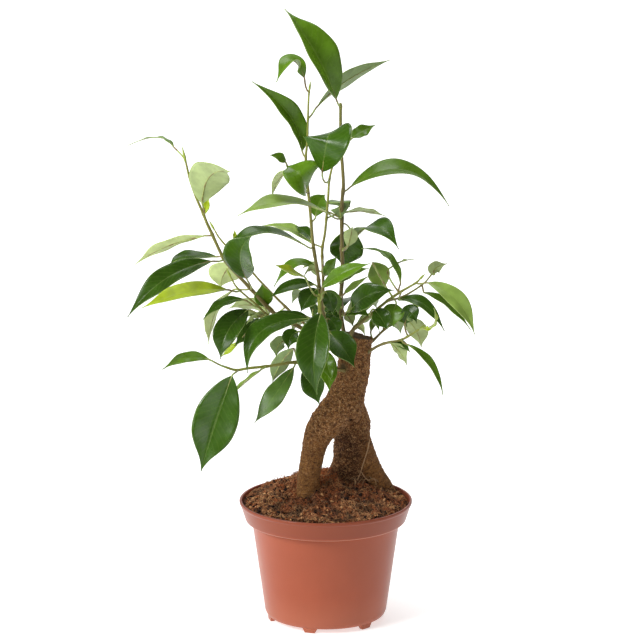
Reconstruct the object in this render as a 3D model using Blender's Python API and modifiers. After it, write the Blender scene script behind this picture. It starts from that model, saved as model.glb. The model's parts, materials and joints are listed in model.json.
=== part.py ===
"""Ginseng ficus bonsai in its plastic nursery pot.

Metres, +Z up, +X right, -Y to the front. The plant is laid out around the pot's axis, and is then moved as
a whole, so that the origin is on the surface that the pot's feet stand on, under the middle of the plant's
extents. The pot and the soil are turned, the trunk is grown from limbs that are fused into one body, the
shoots are tapered tubes set in sockets in the trunk, and each leaf is a strip bent along its midrib, with
its stalk, and thickened.
"""

import math
from collections import namedtuple

import bmesh
import bpy
from mathutils import Matrix, Vector
from mathutils.geometry import interpolate_bezier

MM = 0.001
GAP = 0.3 * MM  # clearance where one piece sits in or on another
POT_AXIS = (15.9 * MM, 14.7 * MM, 0)  # where the pot's axis stands, seen from the middle of the extents

# Pot
POT_RIM_RADIUS = 60 * MM
POT_HEIGHT = 85 * MM  # from the surface to the rim, feet included
FOOT_HEIGHT = 3 * MM
WALL = 1.6 * MM
BAND_HEIGHT = 14 * MM  # the flared band under the rim
BAND_FOOT_RADIUS = 55.7 * MM
BODY_TOP_RADIUS = 51.4 * MM
BODY_FOOT_RADIUS = 42 * MM
FLOOR_THICKNESS = 2 * MM
BAND_FOOT_HEIGHT = POT_HEIGHT - BAND_HEIGHT
LEDGE_HEIGHT = BAND_FOOT_HEIGHT + WALL  # where the inside steps out behind the band
LEDGE_RISE = 0.4 * MM
POT_SIDES = 56
FOOT_COUNT = 6
FOOT_FIRST_ANGLE = -106  # degrees from +X: the foot nearest the front
FOOT_TOP_WIDTH = 11.5 * MM
FOOT_BOTTOM_WIDTH = 7 * MM
FOOT_DEPTH = 3.2 * MM
HOLE_RADIUS = 3.6 * MM
HOLE_RING_RADIUS = 27 * MM

# Soil
SOIL_EDGE_HEIGHT = 83 * MM
SOIL_HEAP = (-3 * MM, 12 * MM)  # the middle of the heap between the legs
SOIL_HEAP_RISE = 17 * MM
SOIL_HEAP_REACH = 38 * MM
SOIL_RINGS = 8
SOIL_SIDES = 36

# Trunk
TRUNK_VOXEL = 2.4 * MM
TRUNK_KEPT_FACES = 0.16
CUT_POINT = (21 * MM, 3 * MM, 201.5 * MM)
CUT_NORMAL = (0.22, 0.05, 1)

# Shoots and leaves
CROWN_CENTRE = (18, 2, 195)  # mm, in the cut top of the trunk
CROWN_DEPTH = 1.7  # how many times deeper the crown is than its layout below
CROWN_LEAN = 0.2  # how far the crown sinks towards the back, for each mm of depth
CROWN_START = 45  # mm from its centre where the crown has its whole depth
SHOOT_STEP = 9 * MM  # distance between the rings of a shoot
SOCKET_STEPS = 3
STALK_HALF_WIDTH = 0.6 * MM
STALK_THICKNESS = 1.1 * MM
BLADE_THICKNESS = 0.5 * MM
TIP_HALF_WIDTH = 0.35 * MM
STALK_ROWS = 3
BLADE_ROWS = 8

COLOURS = {
    "pot_plastic": ((0.52, 0.16, 0.09), 0.38),
    "potting_soil": ((0.085, 0.035, 0.016), 0.95),
    "bark": ((0.22, 0.115, 0.055), 0.85),
    "green_stem": ((0.20, 0.20, 0.05), 0.5),
    "leaf_dark": ((0.018, 0.075, 0.022), 0.3),
    "leaf_mid": ((0.055, 0.17, 0.03), 0.35),
    "leaf_light": ((0.13, 0.28, 0.06), 0.4),
    "leaf_lime": ((0.26, 0.42, 0.05), 0.4),
    "leaf_pale": ((0.22, 0.33, 0.15), 0.55),
}

# The trunk's limbs: points down each limb, in mm, as (x, y, z, radius).
LIMBS = [
    # column, from above the cut down to the fork
    [(22, 3, 214, 11), (21, 3, 200, 11), (20, 3, 188, 11.2), (18.5, 1.5, 176, 11.6), (16, 0, 165, 12.2),
     (12.5, -2.5, 154, 13.6), (10, -4, 147, 13.4)],
    # front leg, standing clear to the left
    [(8, -4, 150, 12.5), (1, -6, 142, 11.2), (-5, -7, 133, 9.8), (-8.5, -8, 122, 8.3), (-11, -9, 108, 7.9),
     (-12.5, -10, 95, 8), (-13, -10, 84, 8.8), (-13, -10, 70, 8)],
    # rear leg, thick and upright
    [(16, 12, 152, 10), (19, 17, 137, 11.6), (18, 18, 120, 12.2), (16.5, 19, 104, 12.3), (15.5, 19, 90, 13),
     (15, 19, 72, 12)],
    # right root, spreading towards the rim
    [(21, 14, 134, 8), (24, 16, 121, 8.6), (28.5, 17, 107, 8.4), (35, 18, 96, 7.4), (42, 20, 87, 5.8),
     (46.5, 21, 78, 4.6)],
    # back root, spreading to the rear
    [(14, 18, 112, 8), (10, 27, 100, 7), (6, 35, 91, 5.2), (3, 42, 82, 3.4)],
    # heel that steadies the rear leg on its left
    [(15, 14, 112, 8), (8, 20, 97, 5.6), (3, 24, 87, 4), (0, 26, 79, 3)],
    # scar of a lost branch at the front of the column
    [(15, -3, 182, 6), (11.5, -8, 181, 4.6)],
]

# The shoots: points up each shoot, in mm, and its radius at the foot and at the tip.
# Those in IN_TRUNK start inside a socket in the trunk; the others start just off the shoot they branch from.
SHOOTS = {
    "a": ([(14, 6, 195), (11.5, 6, 208), (10, 6, 221), (11.5, 6, 246), (11, 6, 262), (11, 5, 293),
           (12, 5, 307), (10.5, 5, 331), (10, 4, 347), (10, 4, 363.5)], 1.55, 1.05),
    "b": ([(12.5, -1, 192), (6, -5, 203), (-2, -8, 220), (-5.5, -9, 248), (-8.5, -9, 267), (-10, -10, 284),
           (-12, -11, 306), (-13.5, -12, 327), (-12.5, -13, 340), (-12, -13, 358), (-11.5, -14, 371),
           (-11, -15, 375.5)], 1.4, 0.55),
    "c": ([(13, 9, 189), (5, 10, 202), (-1, 9, 222), (-2, 8, 245), (-2.5, 6, 261), (-0.5, 4, 274),
           (1.5, 1, 298), (2.5, -1, 312), (6, -3, 327), (8.5, -4, 337)], 1.2, 0.65),
    "d": ([(13, 1, 184), (4, -1, 193), (-10, -6, 205), (-24, -10, 214), (-36, -13, 222), (-53, -15, 241),
           (-62, -16, 251), (-69, -17, 260), (-77.5, -18, 279), (-80.5, -19, 286), (-82.5, -19, 291.5),
           (-87, -20, 302.5), (-91, -20, 314), (-93, -20, 323), (-94, -20, 327.5)], 1.6, 0.65),
    "j": ([(-26, -13, 214), (-30, -18, 215), (-38, -22, 221), (-48, -24, 231), (-59.5, -26, 242),
           (-64, -27, 250)], 0.95, 0.55),
    "k": ([(13, 7, 181), (4, 9, 190), (-10, 11, 203), (-28, 13, 219), (-44, 15, 235), (-53, 16, 245),
           (-71.5, 17, 264), (-77.5, 18, 273)], 1.15, 0.55),
    "e": ([(15, -5, 178), (7, -10, 181), (-6, -13, 186), (-22, -14, 187), (-38.5, -16, 185), (-53, -18, 184),
           (-61, -19, 183), (-69, -21, 186)], 1.3, 0.8),
    "f": ([(18, -5, 193), (18, -5, 206), (25, -4, 213), (34.5, -2, 220.5), (42.5, -1, 227), (51.5, 0, 233),
           (61.5, 0, 239), (64.5, 0, 242)], 1.4, 0.6),
    "g": ([(43, 1, 227), (48, 7, 226), (53, 10, 227), (59.5, 12, 230), (68.5, 14, 236), (75, 15, 244)],
          0.85, 0.5),
    "h": ([(26, -2, 188), (33, -4, 194), (40, -6, 198), (51, -8, 201), (58, -9, 205), (65, -10, 210)],
          1.1, 0.6),
    "i": ([(26, 6, 190), (33, 7, 197), (40.5, 9, 204), (46, 11, 207), (57.5, 14, 214), (65, 17, 219)],
          1.0, 0.55),
    "y": ([(14, -5, 186), (4, -13, 197), (-2, -17, 211), (-4, -18, 223), (-4.5, -18, 236)], 1.5, 1.1),
}
# Side shoots: the shoot that each branches from, and where, seen from the front at (x, z).
BRANCHES = {"g": ("f", (43, 227)), "j": ("d", (-26, 215))}
IN_TRUNK = ("a", "b", "c", "d", "k", "e", "f", "h", "i", "y")

# One leaf: the shoot it grows from, where its stalk leaves that shoot as seen from the front (x, z), the
# foot, the back and the tip of its midrib, its width, the way its upper side faces, how far its halves fold
# up, in degrees, and its colour. Lengths are in mm.
Leaf = namedtuple("Leaf", "shoot node foot back tip width face fold tone")

LEAVES = {
    "a_crown": ("a", (9, 361), (7, 0, 367), (-7.5, -3, 399.5), (-28, 5, 428), 30, (7, -6, 2), 29, "mid"),
    "a_right": ("a", (12, 302), (17.5, 7, 305.5), (54.5, 12, 315.5), (85.5, 20, 288.5), 19,
                (0, -3, 8), 16, "light"),
    "a_left": ("a", (11, 283), (0, -10, 291), (-28.5, -31, 302), (-58.5, -38, 294.5), 17,
               (0, -3, 8), 16, "light"),
    "a_twist": ("a", (12, 262), (14.5, 3, 264.5), (33, -4, 280), (49.5, -12, 265.5), 20,
                (-2, 4, 6), 12, "dark"),
    "a_round": ("a", (11, 279), (16.5, 14, 273.5), (14.5, 22, 258.5), (11.5, 27, 243.5), 24,
                (0, -8, 2), 12, "dark"),
    "b_tip": ("b", (-11.5, 374), (-14.5, -15, 384), (-23, -18, 396), (-33, -24, 382), 15,
              (-2, -2, 7), 18, "mid"),
    "b_right": ("b", (-11, 356), (-6, -4, 362.5), (15, 15, 378), (44, 24, 390.5), 16, (-2, 6, 4), 10, "pale"),
    "b_dark": ("b", (-13, 328), (-16, -10, 333), (-24.5, -9, 357), (-49.5, -14, 381), 16.5,
               (5, -6, 3), 28, "mid"),
    "b_fold": ("b", (-12, 304), (-13.5, -17, 307.5), (-17, -24, 319), (-27, -14, 323.5), 28,
               (4, -8, 4), 20, "mid"),
    "b_lime": ("b", (-13, 324), (-16, -5, 320.5), (-29.5, 8, 313.5), (-37.5, 16, 295.5), 13,
               (-4, 3, 6), 12, "lime"),
    "c_front": ("c", (1, 311), (-2.5, -22, 321), (1.5, -26, 345.5), (5, -6, 343), 35, (-2, -8, 3), 6, "dark"),
    "c_behind": ("c", (1, 284), (7.5, 9, 285), (23.5, 22, 285), (42, 30, 279.5), 10, (0, 5, 7), 10, "pale"),
    "b_arch": ("b", (-8, 266), (-15.5, -15, 270), (-43, -25, 280.5), (-68.5, -28, 270.5), 16,
               (0, -2, 8), 14, "dark"),
    "c_arch": ("c", (-2, 262), (-10.5, 9, 265.5), (-26, 18, 273.5), (-44.5, 26, 273.5), 10,
               (0, -3, 8), 14, "light"),
    "b_low": ("b", (-5, 238), (-7.5, -14, 241.5), (-23.5, -17, 241.5), (-38, -20, 233.5), 9,
              (0, -6, 6), 14, "dark"),
    "d_narrow": ("j", (-46, 229), (-55, -28, 234.5), (-70, -29, 232), (-82.5, -33, 222), 8,
                 (0, -4, 7), 16, "dark"),
    "d_lime": ("d", (-51, 239), (-63.5, -9, 236.5), (-76, -2, 219), (-81, 4, 195), 18,
               (-6, 3, 4), 10, "lime"),
    "d_gloss": ("j", (-41, 223), (-52.5, -30, 228), (-65.5, -39, 215.5), (-70.5, -41, 197), 20,
                (-3, -8, 3), 20, "dark"),
    "d_under": ("d", (-38, 223), (-40.5, -15, 216.5), (-51.5, -19, 210.5), (-62, -22, 200.5), 15,
                (0, -5, 7), 12, "dark"),
    "y_spotted": ("y", (-2, 210), (-11.5, -27, 221), (-43.5, -38, 215), (-52.5, -42, 187.5), 16,
                  (0, -5, 6), 16, "dark"),
    "e_olive": ("e", (-19, 188), (-22.5, -5, 194.5), (-32, 5, 179.5), (-37, 11, 165.5), 12,
                (0, 8, 2), 10, "pale"),
    "e_hang": ("e", (-21, 187), (-22, -16, 184), (-35.5, -23, 165.5), (-48.5, -26, 148), 15,
               (-3.6, -8, 4.5), 18, "dark"),
    "d_tip": ("d", (-94, 327.5), (-102, -17, 337), (-113.5, -12, 343), (-133.5, -8, 336.5), 7,
              (1, 3, 16), 2, "mid"),
    "d_curl": ("d", (-83, 291), (-83, -22, 299.5), (-77, -32, 320), (-62.5, -46, 325.5), 27,
               (1, 8, 2), 8, "pale"),
    "d_left": ("d", (-77, 276), (-82.5, -17, 276), (-108.5, -10, 267), (-130.5, -4, 253), 12,
               (0, 5, 7), 14, "pale"),
    "d_long": ("d", (-69, 260), (-77, -26, 260.5), (-107.5, -36, 250.5), (-132.5, -40, 225.5), 17,
               (0, -5, 6), 18, "dark"),
    "d_yellow": ("j", (-58, 241), (-66, -34, 243), (-93, -46, 244), (-122, -52, 235), 17,
                 (0, -4, 7), 18, "lime"),
    "d_up": ("d", (-51, 239), (-53.5, -24, 248), (-57, -37, 268), (-49.5, -41, 281), 24,
             (-2, -8, 2), 14, "dark"),
    "d_round": ("k", (-55, 246), (-65, 20, 247.5), (-71.5, 25, 238.5), (-73.5, 28, 229), 22,
                (0, 8, 2), 8, "lime"),
    "e_tip": ("e", (-69, 186), (-79, -26, 192.5), (-94.5, -27, 194), (-110.5, -28, 186), 8,
              (0, -6, 4), 20, "mid"),
    "e_front": ("e", (-60, 183), (-63.5, -28, 181.5), (-75, -32, 149), (-84.5, -36, 117), 31,
                (-1, -8, 2), 10, "mid"),
    "e_small": ("e", (-41, 185), (-44.5, -20, 183.5), (-54, -23, 176.5), (-66.5, -25, 165), 6,
                (-5, -1, 6), 24, "light"),
    "y_lime": ("y", (-4, 234), (-14.5, -25, 250), (-24, -33, 255.5), (-33.5, -36, 260.5), 10,
               (0, -5, 7), 14, "lime"),
    "y_light": ("y", (-4, 231), (-2.5, -20, 241), (12, -24, 252), (29.5, -26, 259), 13,
                (0, -6, 5), 18, "light"),
    "y_front": ("y", (-4, 223), (-3.5, -28, 225), (-8, -40, 201.5), (-6, -43, 173), 28,
                (-4.5, -8, 2), 26, "dark"),
    "y_right": ("y", (0, 206), (2, -24, 211), (11, -31, 202.5), (19.5, -35, 189.5), 20,
                (2, -7, 4), 14, "dark"),
    "y_behind": ("y", (4, 197), (-11.5, -18, 188.5), (-8.5, -22, 174), (-4.5, -24, 160.5), 17,
                 (-2, -8, 2), 12, "dark"),
    "f_arch": ("f", (50, 232), (51.5, 5, 238.5), (43, 14, 254.5), (24.5, 15, 260), 8, (4, 0, 7), 12, "mid"),
    "f_hang": ("f", (46, 229), (32.5, 14, 250), (37, 16, 241), (40, 12, 229), 16, (-1, -8, 2), 14, "light"),
    "a_dark": ("a", (10, 216), (17, -1, 219.5), (28, -10, 232.5), (46.5, -13, 237.5), 18,
               (-2, -7, 4), 12, "dark"),
    "f_big": ("f", (62, 239), (70, -5, 240.5), (90, -9, 228.5), (101.5, -12, 206), 13,
              (0, -6, 5), 18, "light"),
    "f_dark": ("f", (51, 233), (50, -7, 229), (66.5, -10, 227), (81, -12, 208.5), 10, (0, -4, 6), 14, "dark"),
    "h_pale": ("i", (50, 209), (55, 17, 210.5), (63, 20, 200.5), (67, 24, 187), 17, (2, 6, 5), 10, "pale"),
    "h_long": ("h", (52, 201), (55.5, -13, 199.5), (71.5, -15, 186.5), (80, -17, 165), 6,
               (2, -5, 6), 16, "mid"),
    "h_lime": ("h", (64, 209), (66, -13, 210.5), (74, -15, 214.5), (73.5, -17, 226), 6,
               (6, -3, 2), 14, "lime"),
}

# Leaves that twist: the way their upper side faces at the tip.
TWISTS = {
    "a_twist": (2, -7, 4), "b_tip": (-4, -5, 4), "b_fold": (-1, -4, 8), "c_front": (-3, -3, 8),
    "d_gloss": (-3, -8, 3), "y_spotted": (-5, -7, 3), "d_curl": (1, 7, 5), "d_long": (-2, -6, 4),
    "y_front": (-4, -8, 1.5), "y_right": (3, -7, 3), "f_arch": (-2, -1, 8), "f_big": (3, -6, 3),
    "f_dark": (2, -5, 4), "h_long": (3, -5, 4),
}

parts = None
cutters = None


def collection(name):
    made = bpy.data.collections.new(name)
    bpy.context.scene.collection.children.link(made)
    return made


def material(name):
    made = bpy.data.materials.get(name)
    if made:
        return made
    made = bpy.data.materials.new(name)
    made.use_nodes = True
    shader = made.node_tree.nodes["Principled BSDF"]
    colour, roughness = COLOURS[name]
    shader.inputs["Base Color"].default_value = (*colour, 1)
    shader.inputs["Roughness"].default_value = roughness
    shader.inputs["Metallic"].default_value = 0
    return made


def add_object(name, data, where, slot=None):
    made = bpy.data.objects.new(name, data)
    where.objects.link(made)
    if slot:
        data.materials.clear()
        data.materials.append(material(slot))
    if where == cutters:
        made.hide_render = True
        made.display_type = "WIRE"
    return made


def evaluated_mesh(thing, name):
    """The thing's mesh with its modifiers or its bevel, welded, as a new mesh."""
    graph = bpy.context.evaluated_depsgraph_get()
    mesh = bpy.data.meshes.new_from_object(thing.evaluated_get(graph), depsgraph=graph)
    mesh.name = name
    work = bmesh.new()
    work.from_mesh(mesh)
    bmesh.ops.remove_doubles(work, verts=work.verts, dist=0.00001)
    bmesh.ops.recalc_face_normals(work, faces=work.faces)
    work.to_mesh(mesh)
    work.free()
    return mesh


def boolean(target, cutter, operation):
    cut = target.modifiers.new(f"{operation.lower()} {cutter.name}", "BOOLEAN")
    cut.operation = operation
    cut.object = cutter
    return cut


def turned(name, profile, slot, sides):
    """A closed turned body: the profile runs down the outer side, from the axis back to the axis."""
    mesh = bpy.data.meshes.new(name)
    work = bmesh.new()
    corners = [work.verts.new((radius, 0, height)) for radius, height in profile]
    for first, second in zip(corners, corners[1:]):
        work.edges.new((first, second))
    work.to_mesh(mesh)
    work.free()
    made = add_object(name, mesh, parts, slot)
    screw = made.modifiers.new("turn", "SCREW")
    screw.steps = screw.render_steps = sides
    screw.use_merge_vertices = True
    screw.merge_threshold = 0.00001
    screw.use_normal_calculate = True
    return made


# ---------------------------------------------------------------- pot


def inner_radius(height):
    """Radius of the pot's inside at a height above the surface."""
    if height > LEDGE_HEIGHT:
        share = (height - BAND_FOOT_HEIGHT) / BAND_HEIGHT
        return BAND_FOOT_RADIUS + (POT_RIM_RADIUS - BAND_FOOT_RADIUS) * share - WALL - 0.3 * MM
    share = (height - FOOT_HEIGHT) / (BAND_FOOT_HEIGHT - FOOT_HEIGHT)
    return BODY_FOOT_RADIUS + (BODY_TOP_RADIUS - BODY_FOOT_RADIUS) * share - WALL


def make_pot():
    floor = FOOT_HEIGHT + FLOOR_THICKNESS
    profile = [
        (0, floor),
        (inner_radius(floor), floor),
        (inner_radius(LEDGE_HEIGHT), LEDGE_HEIGHT),
        (inner_radius(LEDGE_HEIGHT + LEDGE_RISE), LEDGE_HEIGHT + LEDGE_RISE),
        (inner_radius(POT_HEIGHT), POT_HEIGHT),
        (POT_RIM_RADIUS - 0.5 * MM, POT_HEIGHT),
        (POT_RIM_RADIUS, POT_HEIGHT - 0.8 * MM),
        (POT_RIM_RADIUS - 0.2 * MM, POT_HEIGHT - 2 * MM),
        (BAND_FOOT_RADIUS, BAND_FOOT_HEIGHT + 0.6 * MM),
        (BAND_FOOT_RADIUS - 0.5 * MM, BAND_FOOT_HEIGHT),
        (BODY_TOP_RADIUS, BAND_FOOT_HEIGHT),
        (BODY_FOOT_RADIUS + 0.2 * MM, FOOT_HEIGHT + 2 * MM),
        (BODY_FOOT_RADIUS - 0.9 * MM, FOOT_HEIGHT),
        (0, FOOT_HEIGHT),
    ]
    pot = turned("pot", profile, "pot_plastic", POT_SIDES)
    bpy.context.view_layer.update()
    pot.data = evaluated_mesh(pot, "pot")
    pot.modifiers.clear()
    for index in range(FOOT_COUNT):
        angle = math.radians(FOOT_FIRST_ANGLE + 360 / FOOT_COUNT * index)
        boolean(pot, make_foot(index, angle), "UNION")
        boolean(pot, make_hole(index, angle + math.radians(180 / FOOT_COUNT)), "DIFFERENCE")
    return pot


def make_foot(index, angle):
    """A trapezoid foot under the base's edge, narrower at the bottom, set 1 mm into the base."""
    mesh = bpy.data.meshes.new("foot")
    work = bmesh.new()
    bmesh.ops.create_cube(work, size=1)
    sunk = 1 * MM
    middle = BODY_FOOT_RADIUS - 1.5 * MM - FOOT_DEPTH / 2
    for corner in work.verts:
        width = FOOT_TOP_WIDTH if corner.co.z > 0 else FOOT_BOTTOM_WIDTH
        height = FOOT_HEIGHT + sunk if corner.co.z > 0 else 0
        corner.co = Vector((middle + corner.co.x * FOOT_DEPTH, corner.co.y * width, height))
    bmesh.ops.rotate(work, verts=work.verts, cent=(0, 0, 0), matrix=Matrix.Rotation(angle, 3, "Z"))
    work.to_mesh(mesh)
    work.free()
    return add_object(f"pot foot {index + 1}", mesh, cutters)


def make_hole(index, angle):
    mesh = bpy.data.meshes.new("drain hole")
    work = bmesh.new()
    bmesh.ops.create_cone(work, cap_ends=True, segments=16, radius1=HOLE_RADIUS, radius2=HOLE_RADIUS,
                          depth=4 * FLOOR_THICKNESS)
    place = Vector((HOLE_RING_RADIUS * math.cos(angle), HOLE_RING_RADIUS * math.sin(angle),
                    FOOT_HEIGHT + FLOOR_THICKNESS / 2))
    bmesh.ops.translate(work, verts=work.verts, vec=place)
    work.to_mesh(mesh)
    work.free()
    return add_object(f"drain hole {index + 1}", mesh, cutters)


# ---------------------------------------------------------------- trunk


def spline_points(points, step):
    """Points about a step apart on a smooth curve through the given points, each (x, y, z, radius)."""
    knots = [Vector(point) for point in points]
    ends = [2 * knots[0] - knots[1], *knots, 2 * knots[-1] - knots[-2]]
    run = []
    for before, start, end, after in zip(ends, ends[1:], ends[2:], ends[3:]):
        count = max(1, round((end - start).length / step))
        for index in range(count):
            t = index / count
            bend = 2 * before - 5 * start + 4 * end - after
            twist = 3 * start - before - 3 * end + after
            run.append(start + 0.5 * ((end - before) * t + bend * t ** 2 + twist * t ** 3))
    return [*run, knots[-1]]


def tube(name, points, where, slot=None, extra=0):
    """A tapered tube along the points, each (x, y, z, radius) in metres, with closed ends."""
    curve = bpy.data.curves.new(name, "CURVE")
    curve.dimensions = "3D"
    curve.bevel_depth = 1 * MM
    curve.bevel_resolution = 2
    curve.use_fill_caps = True
    line = curve.splines.new("POLY")
    line.points.add(len(points) - 1)
    for place, point in zip(line.points, points):
        place.co = (*point[:3], 1)
        place.radius = (point[3] + extra) / (1 * MM)
    return add_object(name, curve, where, slot)


def tube_mesh(name, points, where, slot=None, extra=0):
    made = tube("tube", points, where, None, extra)
    bpy.context.view_layer.update()
    mesh = evaluated_mesh(made, name)
    bpy.data.objects.remove(made)
    return add_object(name, mesh, where, slot)


def crown(point):
    """Where a point of the layout, in mm, is on the plant, in metres."""
    x, y, z, *radius = point
    share = min(1, (Vector((x, y, z)) - Vector(CROWN_CENTRE)).length / CROWN_START)
    deeper = y * (CROWN_DEPTH - 1) * share
    return Vector((x, y + deeper, z - CROWN_LEAN * deeper, *radius)) * MM


def shoot_layout(name):
    """The points of a shoot in the layout, with its radius, tapering evenly from foot to tip."""
    points, foot_radius, tip_radius = SHOOTS[name]
    last = len(points) - 1
    taper = (tip_radius - foot_radius) / last
    knots = [(*point, foot_radius + taper * index) for index, point in enumerate(points)]
    return spline_points(knots, SHOOT_STEP / MM)


def node_on(name, node):
    """A node of a shoot, seen from the front at (x, z) in the layout: its centre, radius and direction, and
    whether it is the shoot's tip."""
    layout = shoot_layout(name)
    places = [
        start.lerp(end, step / 8) for start, end in zip(layout, layout[1:]) for step in range(8)
    ] + layout[-1:]
    nearest = min(range(len(places)), key=lambda index: math.hypot(places[index][0] - node[0],
                                                                  places[index][2] - node[1]))
    at_tip = nearest == len(places) - 1
    first = nearest - 1 if at_tip else nearest
    along = (crown(places[first + 1]) - crown(places[first])).xyz.normalized()
    place = crown(places[nearest])
    return place.xyz, place[3], along, at_tip


def leaving(name, node, towards):
    """Where a stalk or a side shoot leaves a node towards a point, just clear of the shoot, and which way."""
    centre, radius, along, at_tip = node_on(name, node)
    if at_tip:
        return centre + along * GAP, along
    out = towards - centre
    out = (out - along * out.dot(along)).normalized()
    return centre + out * (radius + GAP), out


def shoot_points(name):
    """The points of a shoot on the plant. A side shoot starts square to the shoot that it branches from."""
    points = [crown(point) for point in shoot_layout(name)]
    if name in BRANCHES:
        start, out = leaving(*BRANCHES[name], points[1].xyz)
        radius = points[0][3]
        points[0:1] = [Vector((*start, radius)), Vector((*(start + 2 * MM * out), radius))]
    return points


def make_trunk():
    """The limbs are fused, smoothed and thinned into one body, cut off at the top, then socketed."""
    joined = bmesh.new()
    for index, limb in enumerate(LIMBS):
        knots = [tuple(value * MM for value in point) for point in limb]
        piece = tube_mesh(f"limb {index + 1}", spline_points(knots, 5 * MM), cutters)
        joined.from_mesh(piece.data)
        bpy.data.objects.remove(piece)
    mesh = bpy.data.meshes.new("trunk")
    joined.to_mesh(mesh)
    joined.free()
    trunk = add_object("trunk", mesh, parts, "bark")
    fuse = trunk.modifiers.new("fuse", "REMESH")
    fuse.mode = "VOXEL"
    fuse.voxel_size = TRUNK_VOXEL
    relax = trunk.modifiers.new("relax", "SMOOTH")
    relax.factor = 0.5
    relax.iterations = 4
    thin = trunk.modifiers.new("thin", "DECIMATE")
    thin.ratio = TRUNK_KEPT_FACES
    bpy.context.view_layer.update()
    trunk.data = evaluated_mesh(trunk, "trunk")
    trunk.modifiers.clear()

    work = bmesh.new()
    work.from_mesh(trunk.data)
    cut = bmesh.ops.bisect_plane(work, geom=work.verts[:] + work.edges[:] + work.faces[:], dist=0.00001,
                                 plane_co=CUT_POINT, plane_no=CUT_NORMAL, clear_outer=True)
    rim = [item for item in cut["geom_cut"] if isinstance(item, bmesh.types.BMEdge)]
    bmesh.ops.contextual_create(work, geom=rim)
    bmesh.ops.recalc_face_normals(work, faces=work.faces)
    work.to_mesh(trunk.data)
    work.free()
    return trunk


def make_socket(trunk, name):
    """Clears the trunk around the foot of a shoot."""
    points = shoot_points(name)[: SOCKET_STEPS + 1]
    first, second = Vector(points[0][:3]), Vector(points[1][:3])
    start = first + (first - second).normalized() * GAP * 1.2
    points[0] = Vector((*start, points[0][3]))
    cutter = tube_mesh(f"socket {name}", points, cutters, extra=GAP * 1.25)
    boolean(trunk, cutter, "DIFFERENCE")


# ---------------------------------------------------------------- soil


def soil_height(x, y):
    """Height of the soil: heaped up between the legs, falling to its edge at the pot's wall."""
    from_heap = math.hypot(x - SOIL_HEAP[0], y - SOIL_HEAP[1]) / SOIL_HEAP_REACH
    from_wall = 1 - (math.hypot(x, y) / (inner_radius(SOIL_EDGE_HEIGHT) - GAP)) ** 8
    return SOIL_EDGE_HEIGHT + SOIL_HEAP_RISE * math.exp(-from_heap ** 2) * max(0, from_wall)


def make_soil(trunk):
    """Turned soil that fills the pot, its top raised to a heap, cleared around the trunk's legs."""
    bottom = FOOT_HEIGHT + FLOOR_THICKNESS + GAP
    ledge = LEDGE_HEIGHT + LEDGE_RISE
    edge = inner_radius(SOIL_EDGE_HEIGHT) - GAP
    profile = [(edge * index / SOIL_RINGS, SOIL_EDGE_HEIGHT) for index in range(SOIL_RINGS + 1)]
    profile += [
        (inner_radius(ledge) - GAP, ledge + 1.2 * GAP),
        (inner_radius(LEDGE_HEIGHT) - 1.2 * GAP, LEDGE_HEIGHT + 1.2 * GAP),
        (inner_radius(bottom) - GAP, bottom),
        (0, bottom),
    ]
    soil = turned("soil", profile, "potting_soil", SOIL_SIDES)
    soil.data = evaluated_mesh(soil, "soil")
    soil.modifiers.clear()
    for corner in soil.data.vertices:
        if corner.co.z > SOIL_EDGE_HEIGHT - GAP:
            corner.co.z = soil_height(corner.co.x, corner.co.y)
    room = add_object("room for the legs", trunk.data.copy(), cutters)
    swell = room.modifiers.new("swell", "DISPLACE")
    swell.strength = 2.5 * GAP
    swell.mid_level = 0
    boolean(soil, room, "DIFFERENCE")
    return soil


# ---------------------------------------------------------------- leaves


def half_width(share):
    """Outline of a blade: broad middle, narrow foot, drawn-out tip. 1 at its broadest."""
    spread = math.sin(math.pi * min(1, share ** 0.92))
    return max(0, spread) ** (0.8 + 0.7 * min(1, max(0, (share - 0.55) / 0.3)))


def leaf_rows(leaf, face_tip):
    """Rows of a leaf, (centre, side direction, normal, half width): those of its stalk and of its blade."""
    foot, back, tip = (crown(point) for point in (leaf.foot, leaf.back, leaf.tip))
    hand = 2 * back - (foot + tip) / 2
    root, out = leaving(leaf.shoot, leaf.node, foot)
    reach = (foot - root).length / 3
    onward = (hand - foot).normalized()
    stalk = interpolate_bezier(root, root + out * reach, foot - onward * reach / 2, foot, STALK_ROWS + 1)

    blade = []
    for index in range(BLADE_ROWS + 1):
        t = index / BLADE_ROWS
        centre = foot * (1 - t) ** 2 + hand * 2 * t * (1 - t) + tip * t ** 2
        tangent = ((hand - foot) * (1 - t) + (tip - hand) * t).normalized()
        facing = Vector(leaf.face).lerp(Vector(face_tip), t)
        normal = (facing - tangent * facing.dot(tangent)).normalized()
        blade.append((centre, tangent.cross(normal), normal, half_width(t) * leaf.width / 2 * MM))

    side = blade[0][1]
    stem = []
    for index in reversed(range(STALK_ROWS)):
        tangent = out if index == 0 else (stalk[index + 1] - stalk[index - 1]).normalized()
        side = (side - tangent * side.dot(tangent)).normalized()
        stem.insert(0, (stalk[index], side, side.cross(tangent), STALK_HALF_WIDTH))
    return stem, blade


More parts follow.
